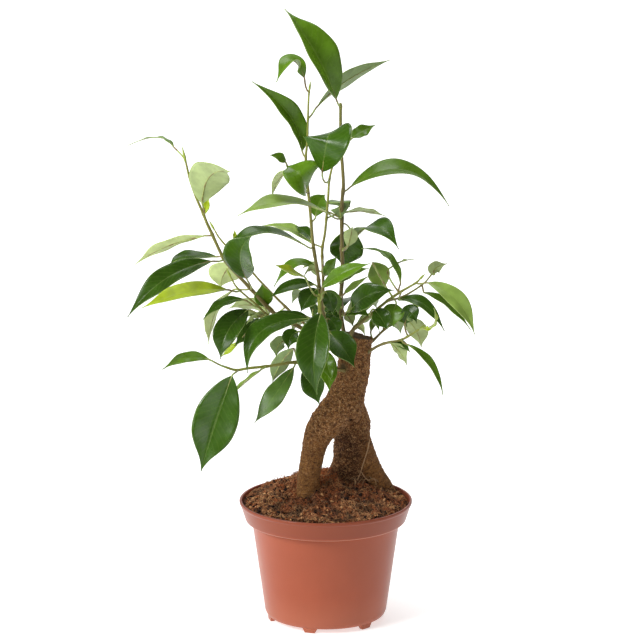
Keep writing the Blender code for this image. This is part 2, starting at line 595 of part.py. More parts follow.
def make_leaf(name, leaf):
    """A strip three points wide along the rows, thickened: thick along the stalk, thin in the blade."""
    stem, blade = leaf_rows(leaf, TWISTS.get(name, leaf.face))
    fold = math.radians(leaf.fold)
    work = bmesh.new()
    rows = stem + blade
    bmesh.ops.create_grid(work, x_segments=len(rows) - 1, y_segments=2, size=1)
    work.verts.ensure_lookup_table()
    stalk_corners = []
    for corner in work.verts:
        row = round((corner.co.x + 1) / 2 * (len(rows) - 1))
        across = round(corner.co.y)
        centre, side, normal, width = rows[row]
        if row < len(stem):
            corner.co = centre + side * across * width
            stalk_corners.append(corner.index)
            continue
        width = max(width, STALK_HALF_WIDTH if row == len(stem) else TIP_HALF_WIDTH)
        rise = abs(across) * math.sin(fold)
        corner.co = centre + (side * across * math.cos(fold) + normal * rise) * width
    mesh = bpy.data.meshes.new(name)
    work.to_mesh(mesh)
    work.free()
    made = add_object(f"leaf_{name}", mesh, parts, f"leaf_{leaf.tone}")
    thick = made.vertex_groups.new(name="stalk")
    thick.add(stalk_corners, 1, "REPLACE")
    shell = made.modifiers.new("thickness", "SOLIDIFY")
    shell.thickness = STALK_THICKNESS
    shell.offset = 0
    shell.vertex_group = thick.name
    shell.thickness_vertex_group = BLADE_THICKNESS / STALK_THICKNESS
    return made


def main():
    global parts, cutters
    for thing in list(bpy.data.objects):
        bpy.data.objects.remove(thing)
    parts = collection("ginseng ficus bonsai")
    cutters = collection("cutters")
    make_pot()
    trunk = make_trunk()
    make_soil(trunk)
    for name in IN_TRUNK:
        make_socket(trunk, name)
    for name in SHOOTS:
        tube(f"shoot_{name}", shoot_points(name), parts, "green_stem")
    for name, row in LEAVES.items():
        make_leaf(name, Leaf(*row))
    for thing in [*parts.objects, *cutters.objects]:
        thing.location = POT_AXIS


main()
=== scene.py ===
"""Ginseng ficus bonsai in its nursery pot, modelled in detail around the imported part.

Everything is in metres in the part's own frame: +Z up, +X right, -Y to the front, with the origin on the
surface that the pot's feet stand on, under the middle of the plant's extents. The plant's layout is the
part's own: in mm, around the pot's axis.
"""

import json
import math
import random
from collections import namedtuple

import bmesh
import bpy
from bpy.props import FloatProperty, FloatVectorProperty, IntProperty, PointerProperty
from mathutils import Matrix, Vector, noise
from mathutils.geometry import interpolate_bezier
from mathutils.kdtree import KDTree

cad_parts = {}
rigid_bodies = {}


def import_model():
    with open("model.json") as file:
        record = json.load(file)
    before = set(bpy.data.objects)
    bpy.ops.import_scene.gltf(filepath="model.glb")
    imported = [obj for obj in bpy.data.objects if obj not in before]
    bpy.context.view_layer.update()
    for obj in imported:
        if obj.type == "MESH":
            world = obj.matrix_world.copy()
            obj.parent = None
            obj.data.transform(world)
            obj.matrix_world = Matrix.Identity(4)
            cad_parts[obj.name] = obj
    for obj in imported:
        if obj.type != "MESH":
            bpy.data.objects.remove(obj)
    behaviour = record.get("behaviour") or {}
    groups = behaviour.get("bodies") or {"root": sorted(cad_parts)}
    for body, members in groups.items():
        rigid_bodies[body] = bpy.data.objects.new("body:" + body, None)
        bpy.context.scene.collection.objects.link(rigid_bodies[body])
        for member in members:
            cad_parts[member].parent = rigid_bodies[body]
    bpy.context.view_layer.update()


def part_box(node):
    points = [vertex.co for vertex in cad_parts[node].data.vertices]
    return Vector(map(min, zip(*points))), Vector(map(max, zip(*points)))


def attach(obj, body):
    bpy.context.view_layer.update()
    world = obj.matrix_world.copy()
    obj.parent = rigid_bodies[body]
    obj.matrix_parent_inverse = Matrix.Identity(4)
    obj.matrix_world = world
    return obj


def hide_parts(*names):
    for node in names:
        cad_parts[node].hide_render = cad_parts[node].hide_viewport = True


bl_info = {
    "name": "Ginseng ficus bonsai",
    "version": (1, 0, 0),
    "blender": (4, 5, 0),
    "location": "View3D > Sidebar > Ficus",
    "description": "Models a ginseng ficus bonsai in its plastic nursery pot",
    "category": "Add Mesh",
}

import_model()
POT_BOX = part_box("pot")
POT_AXIS = Vector(((POT_BOX[0].x + POT_BOX[1].x) / 2, (POT_BOX[0].y + POT_BOX[1].y) / 2, 0))

MM = 0.001

# Pot
BAND_HEIGHT = 14 * MM
BAND_FOOT_RADIUS = 55.7 * MM
BODY_TOP_RADIUS = 51.4 * MM
BODY_FOOT_RADIUS = 42 * MM
FLOOR_THICKNESS = 2 * MM
FOOT_HEIGHT = 3 * MM
FOOT_COUNT = 6
FOOT_FIRST_ANGLE = -106
FOOT_TOP_WIDTH = 11.5 * MM
FOOT_BOTTOM_WIDTH = 7 * MM
FOOT_DEPTH = 3.2 * MM
HOLE_RADIUS = 3.6 * MM
HOLE_RING_RADIUS = 27 * MM
POT_SIDES = 168
SHARP_ANGLE = 40  # degrees
# Tint towards the pot's foot, lighter and pinker.
LOWER_TINT = (0.55, 0.24, 0.15)
# Painted highlight along the step under the pot's band.
STEP_HIGHLIGHT = (0.62, 0.30, 0.20)

# Soil
SOIL_EDGE_HEIGHT = 83 * MM
SOIL_HEAP = Vector((-3, 12)) * MM  # the middle of the heap between the legs
SOIL_HEAP_RISE = 17 * MM
SOIL_HEAP_REACH = 38 * MM
SOIL_SIDES = 200
SOIL_RINGS = 46
SOIL_SKIRT = 9 * MM
SOIL_GAP = 0.4 * MM  # between the soil and the pot's wall
CRUMB_SEED = 11
CRUMB_SIZES = (0.35, 0.85)  # mm
FIBRE_SEED = 23
FIBRE_LENGTHS = (3, 10)  # mm
FIBRE_RADII = (0.09, 0.2)  # mm
FIBRE_STEPS = 6

# Trunk
TRUNK_VOXEL = 0.65 * MM
TRUNK_RELAX_STEPS = 26
CUT_POINT = Vector((21, 3, 201.5)) * MM
CUT_NORMAL = Vector((0.22, 0.05, 1)).normalized()
SCAR_POINT = Vector((11, -10.5, 181)) * MM
SCAR_RADIUS = 3.6 * MM
SCAR_TONE = (0.085, 0.062, 0.018)
CREASE_FOOT = 118  # mm, where the crease under the column begins and ends
CREASE_TOP = 150
LEG_TOP = 140  # mm, where the legs turn smooth and damp
CUT_RIM = 0.8 * MM
CUT_SUNK = 0.3 * MM
LIMB_STEP = 2.5 * MM
ROOT_SEED = 3
ROOT_STEP = 1.2 * MM
ROOT_TOP = 97  # mm, where the loose roots come out of the soil
ROOT_POINTS = 6
LOOSE_ROOTS = 9

# Crown
CROWN_CENTRE = Vector((18, 2, 195))  # mm, in the cut top of the trunk
CROWN_DEPTH = 1.7  # how many times deeper the crown is than its layout
CROWN_LEAN = 0.2  # how far the crown sinks towards the back, for each mm of depth
CROWN_START = 45  # mm from its centre where the crown has its whole depth
LAYOUT_STEP = 9.0  # mm
SHOOT_STEP = 2.5 * MM
SHOOT_SUNK = 0.4 * MM  # how far a side shoot stands in its shoot
NODE_SWELL = 0.28  # how much thicker a shoot is at a node, and how near to it
NODE_REACH = 1.5 * MM
STALK_RADIUS = 0.62 * MM
STALK_SUNK = 0.5 * MM
FOOT_HALF_WIDTH = 0.5 * MM
TIP_HALF_WIDTH = 0.22 * MM
LEAF_SEED = 5
BLADE_ROWS = 34
BLADE_COLUMNS = 12
STALK_ROWS = 6

# The trunk's limbs: points down each limb, in mm, as (x, y, z, radius).
LIMBS = [
    # column, from above the cut down to the fork
    [(22, 3, 214, 11), (21, 3, 200, 11), (20, 3, 188, 11.2), (18.5, 1.5, 176, 11.6), (16, 0, 165, 12.2),
     (12.5, -2.5, 154, 13.6), (10, -4, 147, 13.4)],
    # front leg, standing clear to the left
    [(8, -4, 150, 12.5), (1, -6, 142, 11.2), (-5, -7, 133, 9.8), (-8.5, -8, 122, 8.3), (-11, -9, 108, 7.9),
     (-12.5, -10, 95, 8), (-13, -10, 84, 8.8), (-13, -10, 70, 8)],
    # rear leg, thick and upright
    [(16, 12, 152, 10), (19, 17, 137, 11.6), (18, 18, 120, 12.2), (16.5, 19, 104, 12.3), (15.5, 19, 90, 13),
     (15, 19, 72, 12)],
    # right root, spreading towards the rim
    [(21, 14, 134, 8), (24, 16, 121, 8.6), (28.5, 17, 107, 8.4), (35, 18, 96, 7.4), (42, 20, 87, 5.8),
     (46.5, 21, 78, 4.6)],
    # back root, spreading to the rear
    [(14, 18, 112, 8), (10, 27, 100, 7), (6, 35, 91, 5.2), (3, 42, 82, 3.4)],
    # heel that steadies the rear leg on its left
    [(15, 14, 112, 8), (8, 20, 97, 5.6), (3, 24, 87, 4), (0, 26, 79, 3)],
    # scar of a lost branch at the front of the column
    [(15, -3, 182, 6), (11.5, -8, 181, 4.6)],
]

# The shoots: points up each shoot, in mm, and its radius at the foot and at the tip.
SHOOTS = {
    "a": ([(14, 6, 195), (11.5, 6, 208), (10, 6, 221), (11.5, 6, 246), (11, 6, 262), (11, 5, 293),
           (12, 5, 307), (10.5, 5, 331), (10, 4, 347), (10, 4, 363.5)], 1.55, 1.05),
    "b": ([(12.5, -1, 192), (6, -5, 203), (-2, -8, 220), (-5.5, -9, 248), (-8.5, -9, 267), (-10, -10, 284),
           (-12, -11, 306), (-13.5, -12, 327), (-12.5, -13, 340), (-12, -13, 358), (-11.5, -14, 371),
           (-11, -15, 375.5)], 1.4, 0.55),
    "c": ([(13, 9, 189), (5, 10, 202), (-1, 9, 222), (-2, 8, 245), (-2.5, 6, 261), (-0.5, 4, 274),
           (1.5, 1, 298), (2.5, -1, 312), (6, -3, 327), (8.5, -4, 337)], 1.2, 0.65),
    "d": ([(13, 1, 184), (4, -1, 193), (-10, -6, 205), (-24, -10, 214), (-36, -13, 222), (-53, -15, 241),
           (-62, -16, 251), (-69, -17, 260), (-77.5, -18, 279), (-80.5, -19, 286), (-82.5, -19, 291.5),
           (-87, -20, 302.5), (-91, -20, 314), (-93, -20, 323), (-94, -20, 327.5)], 1.6, 0.65),
    "j": ([(-26, -13, 214), (-30, -18, 215), (-38, -22, 221), (-48, -24, 231), (-59.5, -26, 242),
           (-64, -27, 250)], 0.95, 0.55),
    "k": ([(13, 7, 181), (4, 9, 190), (-10, 11, 203), (-28, 13, 219), (-44, 15, 235), (-53, 16, 245),
           (-71.5, 17, 264), (-77.5, 18, 273)], 1.15, 0.55),
    "e": ([(15, -5, 178), (7, -10, 181), (-6, -13, 186), (-22, -14, 187), (-38.5, -16, 185), (-53, -18, 184),
           (-61, -19, 183), (-69, -21, 186)], 1.3, 0.8),
    "f": ([(18, -5, 193), (18, -5, 206), (25, -4, 213), (34.5, -2, 220.5), (42.5, -1, 227), (51.5, 0, 233),
           (61.5, 0, 239), (64.5, 0, 242)], 1.4, 0.6),
    "g": ([(43, 1, 227), (48, 7, 226), (53, 10, 227), (59.5, 12, 230), (68.5, 14, 236), (75, 15, 244)],
          0.85, 0.5),
    "h": ([(26, -2, 188), (33, -4, 194), (40, -6, 198), (51, -8, 201), (58, -9, 205), (65, -10, 210)],
          1.1, 0.6),
    "i": ([(26, 6, 190), (33, 7, 197), (40.5, 9, 204), (46, 11, 207), (57.5, 14, 214), (65, 17, 219)],
          1.0, 0.55),
    "y": ([(14, -5, 186), (4, -13, 197), (-2, -17, 211), (-4, -18, 223), (-4.5, -18, 236)], 1.5, 1.1),
}
# Side shoots: the shoot that each branches from, and where, seen from the front at (x, z).
BRANCHES = {"g": ("f", (43, 227)), "j": ("d", (-26, 215))}

# The leaves: where a leaf's stalk leaves its shoot as seen from the front (x, z), the foot, the back and the
# tip of its midrib, its width, the way its upper side faces, how far its halves fold up, in degrees, and its
# colour. Lengths are in mm. The first letter of a leaf's name is its shoot's, except in OTHER_SHOOT.
OTHER_SHOOT = {"d_narrow": "j", "d_gloss": "j", "d_yellow": "j", "d_round": "k", "h_pale": "i",
               "f_pale": "a"}

LEAVES = {
    "a_crown": ((9, 361), (7, 0, 367), (-7.5, -3, 399.5), (-28, 5, 428), 30, (7, -6, 2), 29, "mid"),
    "a_right": ((12, 302), (17.5, 7, 305.5), (54.5, 12, 315.5), (85.5, 20, 288.5), 19,
                (0, -3, 8), 16, "mid"),
    "a_left": ((11, 283), (0, -10, 291), (-28.5, -31, 302), (-58.5, -38, 294.5), 17,
               (0, -3, 8), 16, "light"),
    "a_twist": ((12, 262), (14.5, 3, 264.5), (33, -4, 280), (49.5, -12, 265.5), 20, (-2, 4, 6), 12, "dark"),
    "a_round": ((11, 279), (16.5, 14, 273.5), (14.5, 22, 258.5), (11.5, 27, 243.5), 24,
                (0, -8, 2), 12, "dark"),
    "b_tip": ((-11.5, 374), (-14.5, -15, 384), (-23, -18, 396), (-33, -24, 382), 15, (-2, -2, 7), 18, "mid"),
    "b_right": ((-11, 356), (-6, -4, 362.5), (15, 15, 378), (44, 24, 390.5), 16, (-2, 6, 4), 10, "mid"),
    "b_dark": ((-13, 328), (-16, -10, 333), (-24.5, -9, 357), (-49.5, -14, 381), 16.5,
               (5, -6, 3), 28, "mid"),
    "b_fold": ((-12, 304), (-13.5, -17, 307.5), (-17, -24, 319), (-27, -14, 323.5), 28,
               (4, -8, 4), 20, "mid"),
    "b_lime": ((-13, 324), (-16, -5, 320.5), (-29.5, 8, 313.5), (-37.5, 16, 295.5), 13,
               (-4, 3, 6), 12, "lime"),
    "c_front": ((1, 311), (-2.5, -22, 321), (1.5, -26, 345.5), (5, -6, 343), 35, (-2, -8, 3), 6, "dark"),
    "c_behind": ((1, 284), (7.5, 9, 285), (23.5, 22, 285), (42, 30, 279.5), 10, (0, 5, 7), 10, "pale"),
    "b_arch": ((-8, 266), (-15.5, -15, 270), (-43, -25, 280.5), (-68.5, -28, 270.5), 16,
               (0, -2, 8), 14, "dark"),
    "c_arch": ((-2, 262), (-10.5, 9, 265.5), (-26, 18, 273.5), (-44.5, 26, 273.5), 10,
               (0, -3, 8), 14, "light"),
    "b_low": ((-5, 238), (-7.5, -14, 241.5), (-23.5, -17, 241.5), (-38, -20, 233.5), 9,
              (0, -6, 6), 14, "dark"),
    "d_narrow": ((-46, 229), (-55, -28, 234.5), (-70, -29, 232), (-82.5, -33, 222), 8,
                 (0, -4, 7), 16, "dark"),
    "d_lime": ((-51, 239), (-63.5, -9, 236.5), (-76, -2, 219), (-81, 4, 195), 18, (-6, 3, 4), 10, "lime"),
    "d_gloss": ((-41, 223), (-52.5, -30, 228), (-65.5, -39, 215.5), (-70.5, -41, 197), 20,
                (-3, -8, 3), 20, "dark"),
    "d_under": ((-38, 223), (-40.5, -15, 216.5), (-51.5, -19, 210.5), (-62, -22, 200.5), 15,
                (0, -5, 7), 12, "dark"),
    "y_spotted": ((-2, 210), (-11.5, -27, 221), (-43.5, -38, 215), (-52.5, -42, 187.5), 16,
                  (0, -5, 6), 16, "dark"),
    # In the mid tone, not pale: the underside is painted darker as shade.
    "e_olive": ((-19, 188), (-22.5, -5, 194.5), (-32, 5, 179.5), (-37, 11, 165.5), 12, (0, 8, 2), 10, "mid"),
    # e_hang has the pale tone as a painted highlight, for the whitish glare on its glossy upper side.
    "e_hang": ((-21, 187), (-22, -16, 184), (-35.5, -23, 165.5), (-48.5, -26, 148), 15,
               (-3.6, -8, 4.5), 4, "pale"),
    "d_tip": ((-94, 327.5), (-102, -17, 337), (-113.5, -12, 343), (-133.5, -8, 336.5), 7,
              (1, 3, 16), 2, "mid"),
    "d_curl": ((-83, 291), (-83, -22, 299.5), (-77, -32, 320), (-62.5, -46, 325.5), 27,
               (1, 8, 2), 8, "pale"),
    "d_left": ((-77, 276), (-82.5, -17, 276), (-108.5, -10, 267), (-130.5, -4, 253), 12,
               (0, 5, 7), 14, "light"),
    "d_long": ((-69, 260), (-77, -26, 260.5), (-107.5, -36, 250.5), (-132.5, -40, 225.5), 17,
               (0, -5, 6), 18, "dark"),
    "d_yellow": ((-58, 241), (-66, -34, 243), (-93, -46, 244), (-122, -52, 235), 17, (0, -4, 7), 18, "lime"),
    "d_up": ((-51, 239), (-53.5, -24, 248), (-57, -37, 268), (-49.5, -41, 281), 24, (-2, -8, 2), 14, "dark"),
    "d_round": ((-55, 246), (-65, 20, 247.5), (-71.5, 25, 238.5), (-73.5, 28, 229), 22,
                (0, 8, 2), 8, "lime"),
    "e_tip": ((-69, 186), (-79, -26, 192.5), (-94.5, -27, 194), (-110.5, -28, 186), 8,
              (0, -6, 4), 20, "mid"),
    "e_front": ((-60, 183), (-63.5, -28, 181.5), (-75, -32, 149), (-84.5, -36, 117), 31,
                (-1, -8, 2), 10, "dark"),
    "e_small": ((-41, 185), (-44.5, -20, 183.5), (-54, -23, 176.5), (-66.5, -25, 165), 6,
                (-5, -1, 6), 24, "light"),
    "y_lime": ((-4, 234), (-14.5, -25, 250), (-24, -33, 255.5), (-33.5, -36, 260.5), 10,
               (0, -5, 7), 14, "lime"),
    "y_light": ((-4, 231), (-2.5, -20, 241), (12, -24, 252), (29.5, -26, 259), 11, (0, -6, 5), 18, "mid"),
    "y_front": ((-4, 223), (-3.5, -28, 225), (-8, -40, 201.5), (-6, -43, 173), 25, (0.3, -8, 3), 26, "dark"),
    "y_right": ((0, 206), (2, -24, 211), (11, -31, 202.5), (19.5, -35, 189.5), 20, (2, -7, 4), 14, "dark"),
    "y_behind": ((4, 197), (-11.5, -18, 188.5), (-8.5, -22, 174), (-4.5, -24, 160.5), 17,
                 (-2, -8, 2), 12, "dark"),
    "f_arch": ((50, 232), (51.5, 5, 238.5), (43, 14, 254.5), (24.5, 15, 260), 8, (4, 0, 7), 12, "mid"),
    "f_hang": ((46, 229), (32.5, 14, 250), (37, 16, 241), (40, 12, 229), 16, (-1, -8, 2), 14, "light"),
    "a_dark": ((10, 216), (17, -1, 219.5), (28, -10, 232.5), (46.5, -13, 237.5), 18,
               (-2, -7, 4), 12, "dark"),
    "f_big": ((62, 239), (70, -5, 240.5), (90, -9, 228.5), (101.5, -12, 206), 13, (0, -6, 5), 18, "light"),
    "f_dark": ((51, 233), (50, -7, 229), (66.5, -10, 227), (81, -12, 208.5), 10, (0, -4, 6), 14, "dark"),
    "h_pale": ((50, 209), (55, 17, 210.5), (63, 20, 200.5), (67, 24, 187), 17, (2, 6, 5), 10, "pale"),
    "h_long": ((52, 201), (55.5, -13, 199.5), (71.5, -15, 186.5), (80, -17, 165), 6, (2, -5, 6), 16, "mid"),
    "h_lime": ((64, 209), (66, -13, 210.5), (74, -15, 214.5), (73.5, -17, 226), 6, (6, -3, 2), 14, "lime"),
}

# Leaves too small or too hidden to be solids of their own.
SMALL_LEAVES = {
    "b_back": ((-9, 283), (-7, 4, 285), (-5, 8, 293), (-0.5, 10, 299), 15, (0, -8, 3), 12, "mid"),
    "c_right": ((7, 331), (18, 4, 339.5), (24.5, 8, 343), (34, 10, 347.5), 10, (0, -5, 6), 14, "mid"),
    "c_curled": ((0, 288), (10.5, 4, 284), (9.5, 10, 293.5), (13.5, 24, 289.5), 16, (0, 8, 2), 6, "mid"),
    "b_side": ((-8, 262), (-10, 6, 267.5), (-14.5, 12, 272.5), (-21.5, 18, 275), 8, (0, -5, 5), 12, "dark"),
    "b_olive": ((-5, 243), (-6.5, -2, 249.5), (-21.5, -4, 253.5), (-35.5, -8, 238.5), 9,
                (0, -4, 7), 14, "mid"),
    "j_up": ((-41, 217.5), (-41.5, -12, 225.5), (-42.5, -14, 233.5), (-43.5, -16, 242.5), 13,
             (0, -8, 2), 12, "mid"),
    "y_left": ((-2, 214), (-12, -16, 219.5), (-25.5, -20, 222), (-39.5, -24, 221), 8,
               (0, -4, 7), 14, "dark"),
    # In the mid tone, not pale: the underside is painted darker as shade.
    "d_pale": ((-14, 208), (-22.5, -8, 201), (-31.5, -8, 199), (-34, -8, 189), 15, (0, 5, 7), 10, "mid"),
    "d_side": ((-69, 262), (-74.5, -8, 259.5), (-95.5, -6, 259), (-105.5, -8, 255), 11,
               (0, -3, 7), 14, "dark"),
    "y_gloss": ((-4, 230), (-6, -14, 238.5), (-12, -16, 232), (-17, -18, 223.5), 15,
                (-2, -6, 4), 12, "dark"),
    "a_small": ((11, 238), (9.5, 4, 238), (18.5, 4, 245), (29.5, 4, 248.5), 7, (0, -4, 7), 14, "mid"),
    "a_lime": ((10, 228), (12.5, -2, 232), (19.5, 0, 237.5), (29.5, 2, 243.5), 5, (0, -5, 6), 14, "light"),
    "y_under": ((0, 206), (-2, -24, 196), (1, -28, 189.5), (4, -30, 178.5), 10, (0, -7, 3), 12, "mid"),
    "y_last": ((4, 197), (0, -20, 197), (1.5, -26, 185), (2.5, -28, 170.5), 13, (1, -8, 2), 12, "mid"),
    "g_dark": ((66, 234), (68, 12, 229.5), (84.5, 12, 221), (100.5, 12, 203), 7, (0, -4, 7), 14, "mid"),
    "f_thin": ((50, 232), (43.5, 14, 246), (52, 16, 250.5), (61, 18, 251.5), 3, (0, 5, 7), 10, "pale"),
    "g_grey": ((73, 242), (75, 14, 241.5), (76, 15, 246), (84, 16, 249), 10, (0, 8, 2), 10, "pale"),
    "h_under": ((40, 198), (44.5, -8, 199), (51.5, -8, 192), (55.5, -10, 184), 12, (0, 5, 6), 10, "pale"),
    "h_dark": ((44, 199), (47, -6, 199), (52, -8, 197.5), (57.5, -12, 194), 7, (0, -5, 6), 12, "dark"),
    "f_front": ((30, 217), (33, -10, 223), (38, -12, 217), (42, -14, 210), 14, (0, -6, 4), 14, "dark"),
    "f_grey": ((46, 229), (48, -7, 226), (46, -10, 220), (46, -12, 211), 16, (-1, -7, 3), 12, "mid"),
    "h_fold": ((56, 204), (54, -10, 213), (58, -12, 221), (62, -13, 214), 13, (0, -6, 4), 16, "dark"),
    "i_olive": ((46, 207), (43, 8, 206), (50, 6, 214), (56, 4, 207), 13, (0, -5, 6), 12, "mid"),
    "f_pale": ((10, 214), (14.5, -2, 219.5), (24, -3, 226.5), (33, -4, 227), 9, (0, 6, 5), 12, "pale"),
    "f_low": ((18, 206), (21, 2, 208.5), (29, 3, 214), (38, 4, 216), 8, (0, 6, 5), 12, "pale"),
    "y_mid": ((-4, 231), (-1.5, -12, 236), (6, -11, 230), (8.5, -10, 219.5), 9, (1, -7, 4), 12, "mid"),
    "y_inner": ((-2, 214), (2, -12, 217), (6, -14, 213), (8.5, -15, 206), 11, (0, -7, 4), 12, "dark"),
    "d_inner": ((-14, 208), (-19, -14, 208.5), (-24, -16, 205), (-25.5, -18, 197.5), 12,
                (-1, -7, 3), 12, "dark"),
    "c_grey": ((-2, 245), (-5, 8, 246), (-10, 9, 250), (-16, 10, 247), 7, (0, 6, 5), 12, "pale"),
    "k_pale": ((-28, 219), (-35, 16, 214), (-52, 18, 219), (-68, 20, 216), 14, (0, 6, 5), 12, "pale"),
    "a_rear": ((10, 216), (12, 14, 219), (10, 24, 222), (4, 32, 211), 15, (0, 6, 6), 14, "dark"),
    "c_rear": ((-1, 222), (-6, 14, 225), (-16, 23, 227), (-24, 30, 217), 14, (-2, 5, 6), 14, "mid"),
    "k_rear": ((-10, 203), (-12, 18, 206), (-18, 26, 206), (-24, 32, 196), 14, (-1, 6, 6), 14, "dark"),
    "i_rear": ((40.5, 204), (42, 15, 207), (48, 23, 206), (53, 30, 195), 14, (1, 6, 6), 14, "dark"),
    "f_rear": ((25, 213), (26, 6, 217), (30, 20, 221), (36, 32, 213), 13, (1, 5, 6), 14, "mid"),
    "i_arch": ((33, 197), (31, 7, 203), (34, 6, 211), (37, 5, 203), 7, (0, -4, 7), 12, "mid"),
    "a_pale": ((11, 214), (13, 4, 217), (16, 4, 214), (19, 6, 207), 9, (0, 5, 6), 10, "pale"),
    "f_lime": ((18, 206), (19, -2, 206), (23, -2, 209), (27, -2, 203), 9, (0, 4, 6), 10, "lime"),
    "a_olive": ((10, 221), (14, 0, 216), (22, -2, 220), (30, -4, 216), 9, (0, -5, 7), 12, "mid"),
    "y_narrow": ((-4, 234), (0, -14, 236), (3, -15, 230), (5, -16, 221), 10, (0, -7, 3), 12, "dark"),
    "a_low": ((10, 224), (8, 0, 220), (4, -2, 214), (3, -3, 206), 11, (0, -7, 3), 12, "dark"),
    "b_small": ((-4, 230), (-9, -7, 217.5), (-8, -8, 223.5), (-9.5, -10, 229.5), 6, (-1, -6, 4), 12, "dark"),
    "c_small": ((-1, 222), (0, 2, 222), (3, 0, 221), (7, -2, 216), 9, (0, -6, 4), 12, "dark"),
    "c_hang": ((-2, 256), (-1, 2, 243.5), (3, 0, 251), (7.5, -2, 258), 8, (0, -6, 4), 12, "mid"),
    "b_pale": ((-6, 252), (-5.5, -4, 245), (-10, -4, 250), (-15, -6, 245.5), 9, (0, 5, 6), 10, "pale"),
    "j_pale": ((-41, 223), (-46, -20, 221), (-58, -22, 222), (-70, -24, 214), 10, (0, 5, 6), 10, "pale"),
    "j_short": ((-36, 219), (-40, -18, 219), (-47, -20, 221), (-54, -22, 216), 9, (0, 5, 6), 10, "pale"),
    "d_bud": ((-84, 290), (-82, -12, 290), (-81, -10, 295), (-79.5, -8, 300.5), 5, (0, -5, 3), 14, "lime"),
    "b_curl": ((-13, 305), (-27, -16, 326.5), (-31, -18, 330), (-37.5, -20, 332), 7, (0, -6, 5), 12, "mid"),
    "k_bud": ((-60.5, 257), (-62, 10, 265), (-62.5, 10, 269.5), (-63, 10, 274), 3, (0, -8, 2), 12, "lime"),
    "a_back": ((11.5, 260.5), (15, -2, 265.5), (17, -6, 273.5), (18, -8, 280.5), 10, (1, 8, 2), 12, "pale"),
    "j_lime": ((-56, 207), (-59.5, -20, 203), (-65, -20, 198), (-71, -20, 193), 5, (0, -5, 6), 12, "lime"),
}

Leaf = namedtuple("Leaf", "shoot node foot back tip width face fold tone")
ALL_LEAVES = {name: Leaf(OTHER_SHOOT.get(name, name[0]), *row)
              for name, row in {**LEAVES, **SMALL_LEAVES}.items()}

# Leaves that twist: the way their upper side faces at the tip.
TWISTS = {
    "a_twist": (2, -7, 4), "b_tip": (-4, -5, 4), "b_fold": (-1, -4, 8), "c_front": (-3, -3, 8),
    "d_gloss": (-3, -8, 3), "y_spotted": (-5, -7, 3), "d_curl": (1, 7, 5), "d_long": (-2, -6, 4),
    "y_front": (-4, -8, 1.5), "y_right": (3, -7, 3), "f_arch": (-2, -1, 8), "f_big": (3, -6, 3),
    "f_dark": (2, -5, 4), "h_long": (3, -5, 4), "c_curled": (0, 3, 8),
}

# How much of each shoot has old bark, from 0 for none of it; shoots that aren't named have some.
OLD_BARK = {"a": 0.75, "b": 0.3, "c": 0.2, "y": 0.0, "k": 0.45, "d": 0.4, "e": 0.3}
SOME_BARK = 0.35
# The shoots that lie flat, whose bark gets younger with the distance from the foot and not with height.
FLAT_SHOOTS = "eghij"

# Shoots that end in a bud, and how long it is, in mm.
BUDS = {"b": 7, "d": 11, "f": 5, "g": 5, "h": 5, "i": 5, "j": 7, "k": 7}
# A bud's outline: shares of its length from the shoot's tip on, and how many times as thick as that tip.
BUD_OUTLINE = [(-0.1, 0.9), (0.1, 1.35), (0.3, 1.5), (0.55, 1.15), (0.8, 0.6), (1, 0.12)]

# How rough the upper side of each kind of leaf is.
LEAF_ROUGHNESS = {"dark": 0.24, "mid": 0.28, "light": 0.34, "lime": 0.36, "pale": 0.32}

# Stage. Each light: its place and width in metres, and its power in watts.
LIGHTS = {
    "key": ((-1.5, -1.15, 1.4), 0.9, 40),
    "top": ((0.1, 0.25, 1.75), 1.1, 14),
    "front": ((0.25, -2.4, 0.6), 0.5, 3),
    "side": ((-2.2, -0.2, 0.8), 0.8, 9),
    "back": ((0.4, 2.7, 1.5), 2.4, 13),
}
LIGHTS_AIM = Vector((0, 0, 0.2))
WORLD_STRENGTH = 0.14
FLOOR_RADIUS = 14
CAMERA_LENS = 202
CAMERA_SENSOR = 36
CAMERA_PLACE = Vector((0, -2.40, 0.787))
CAMERA_AIM = Vector((-0.004, 0, 0.213))


# ---------------------------------------------------------------- settings


def size_setting(name, description, default):
    return FloatProperty(name=name, description=description, default=default, min=0, subtype="DISTANCE",
                         unit="LENGTH")


def colour_setting(name, description, default):
    return FloatVectorProperty(name=name, description=description, default=default, size=3, min=0, max=1,
                               subtype="COLOR")


class PotSettings(bpy.types.PropertyGroup):
    rim_radius: size_setting("Rim radius", "Outer radius of the pot at its rim", 60 * MM)
    height: size_setting("Height", "From the surface to the rim, feet included", POT_BOX[1].z)
    wall: size_setting("Wall", "Thickness of the plastic", 1.6 * MM)
    plastic: colour_setting("Plastic", "Colour of the plastic", (0.345, 0.081, 0.038))


class SoilSettings(bpy.types.PropertyGroup):
    crumbs: IntProperty(name="Crumbs", description="Number of loose crumbs on the soil", default=3200, min=0)
    fibres: IntProperty(name="Fibres", description="Number of coir fibres on the soil", default=2800, min=0)
    dark: colour_setting("Dark peat", "Colour of the moist peat between the crumbs", (0.012, 0.005, 0.003))
    red: colour_setting("Red coir", "Colour of most crumbs", (0.34, 0.105, 0.032))
    orange: colour_setting("Orange coir", "Colour of the lightest crumbs", (0.80, 0.42, 0.19))
    fibre: colour_setting("Fibre", "Colour of the fibres", (0.60, 0.31, 0.13))


class TrunkSettings(bpy.types.PropertyGroup):
    relief: size_setting("Relief", "Height of the bark's lumps and ridges", 0.55 * MM)
    bark: colour_setting("Bark", "Main colour of the bark", (0.285, 0.122, 0.040))
    light: colour_setting("Light bark", "Colour of the raised cork", (0.74, 0.42, 0.19))
    dark: colour_setting("Dark bark", "Colour of the pits and the cracks", (0.036, 0.013, 0.006))
    damp: colour_setting("Damp bark", "Colour of the rear leg, which is damper", (0.066, 0.020, 0.008))
    olive: colour_setting("Young bark", "Colour of the smooth bark low on the legs", (0.345, 0.155, 0.045))
    wood: colour_setting("Cut wood", "Colour of the sawn top", (0.17, 0.095, 0.045))


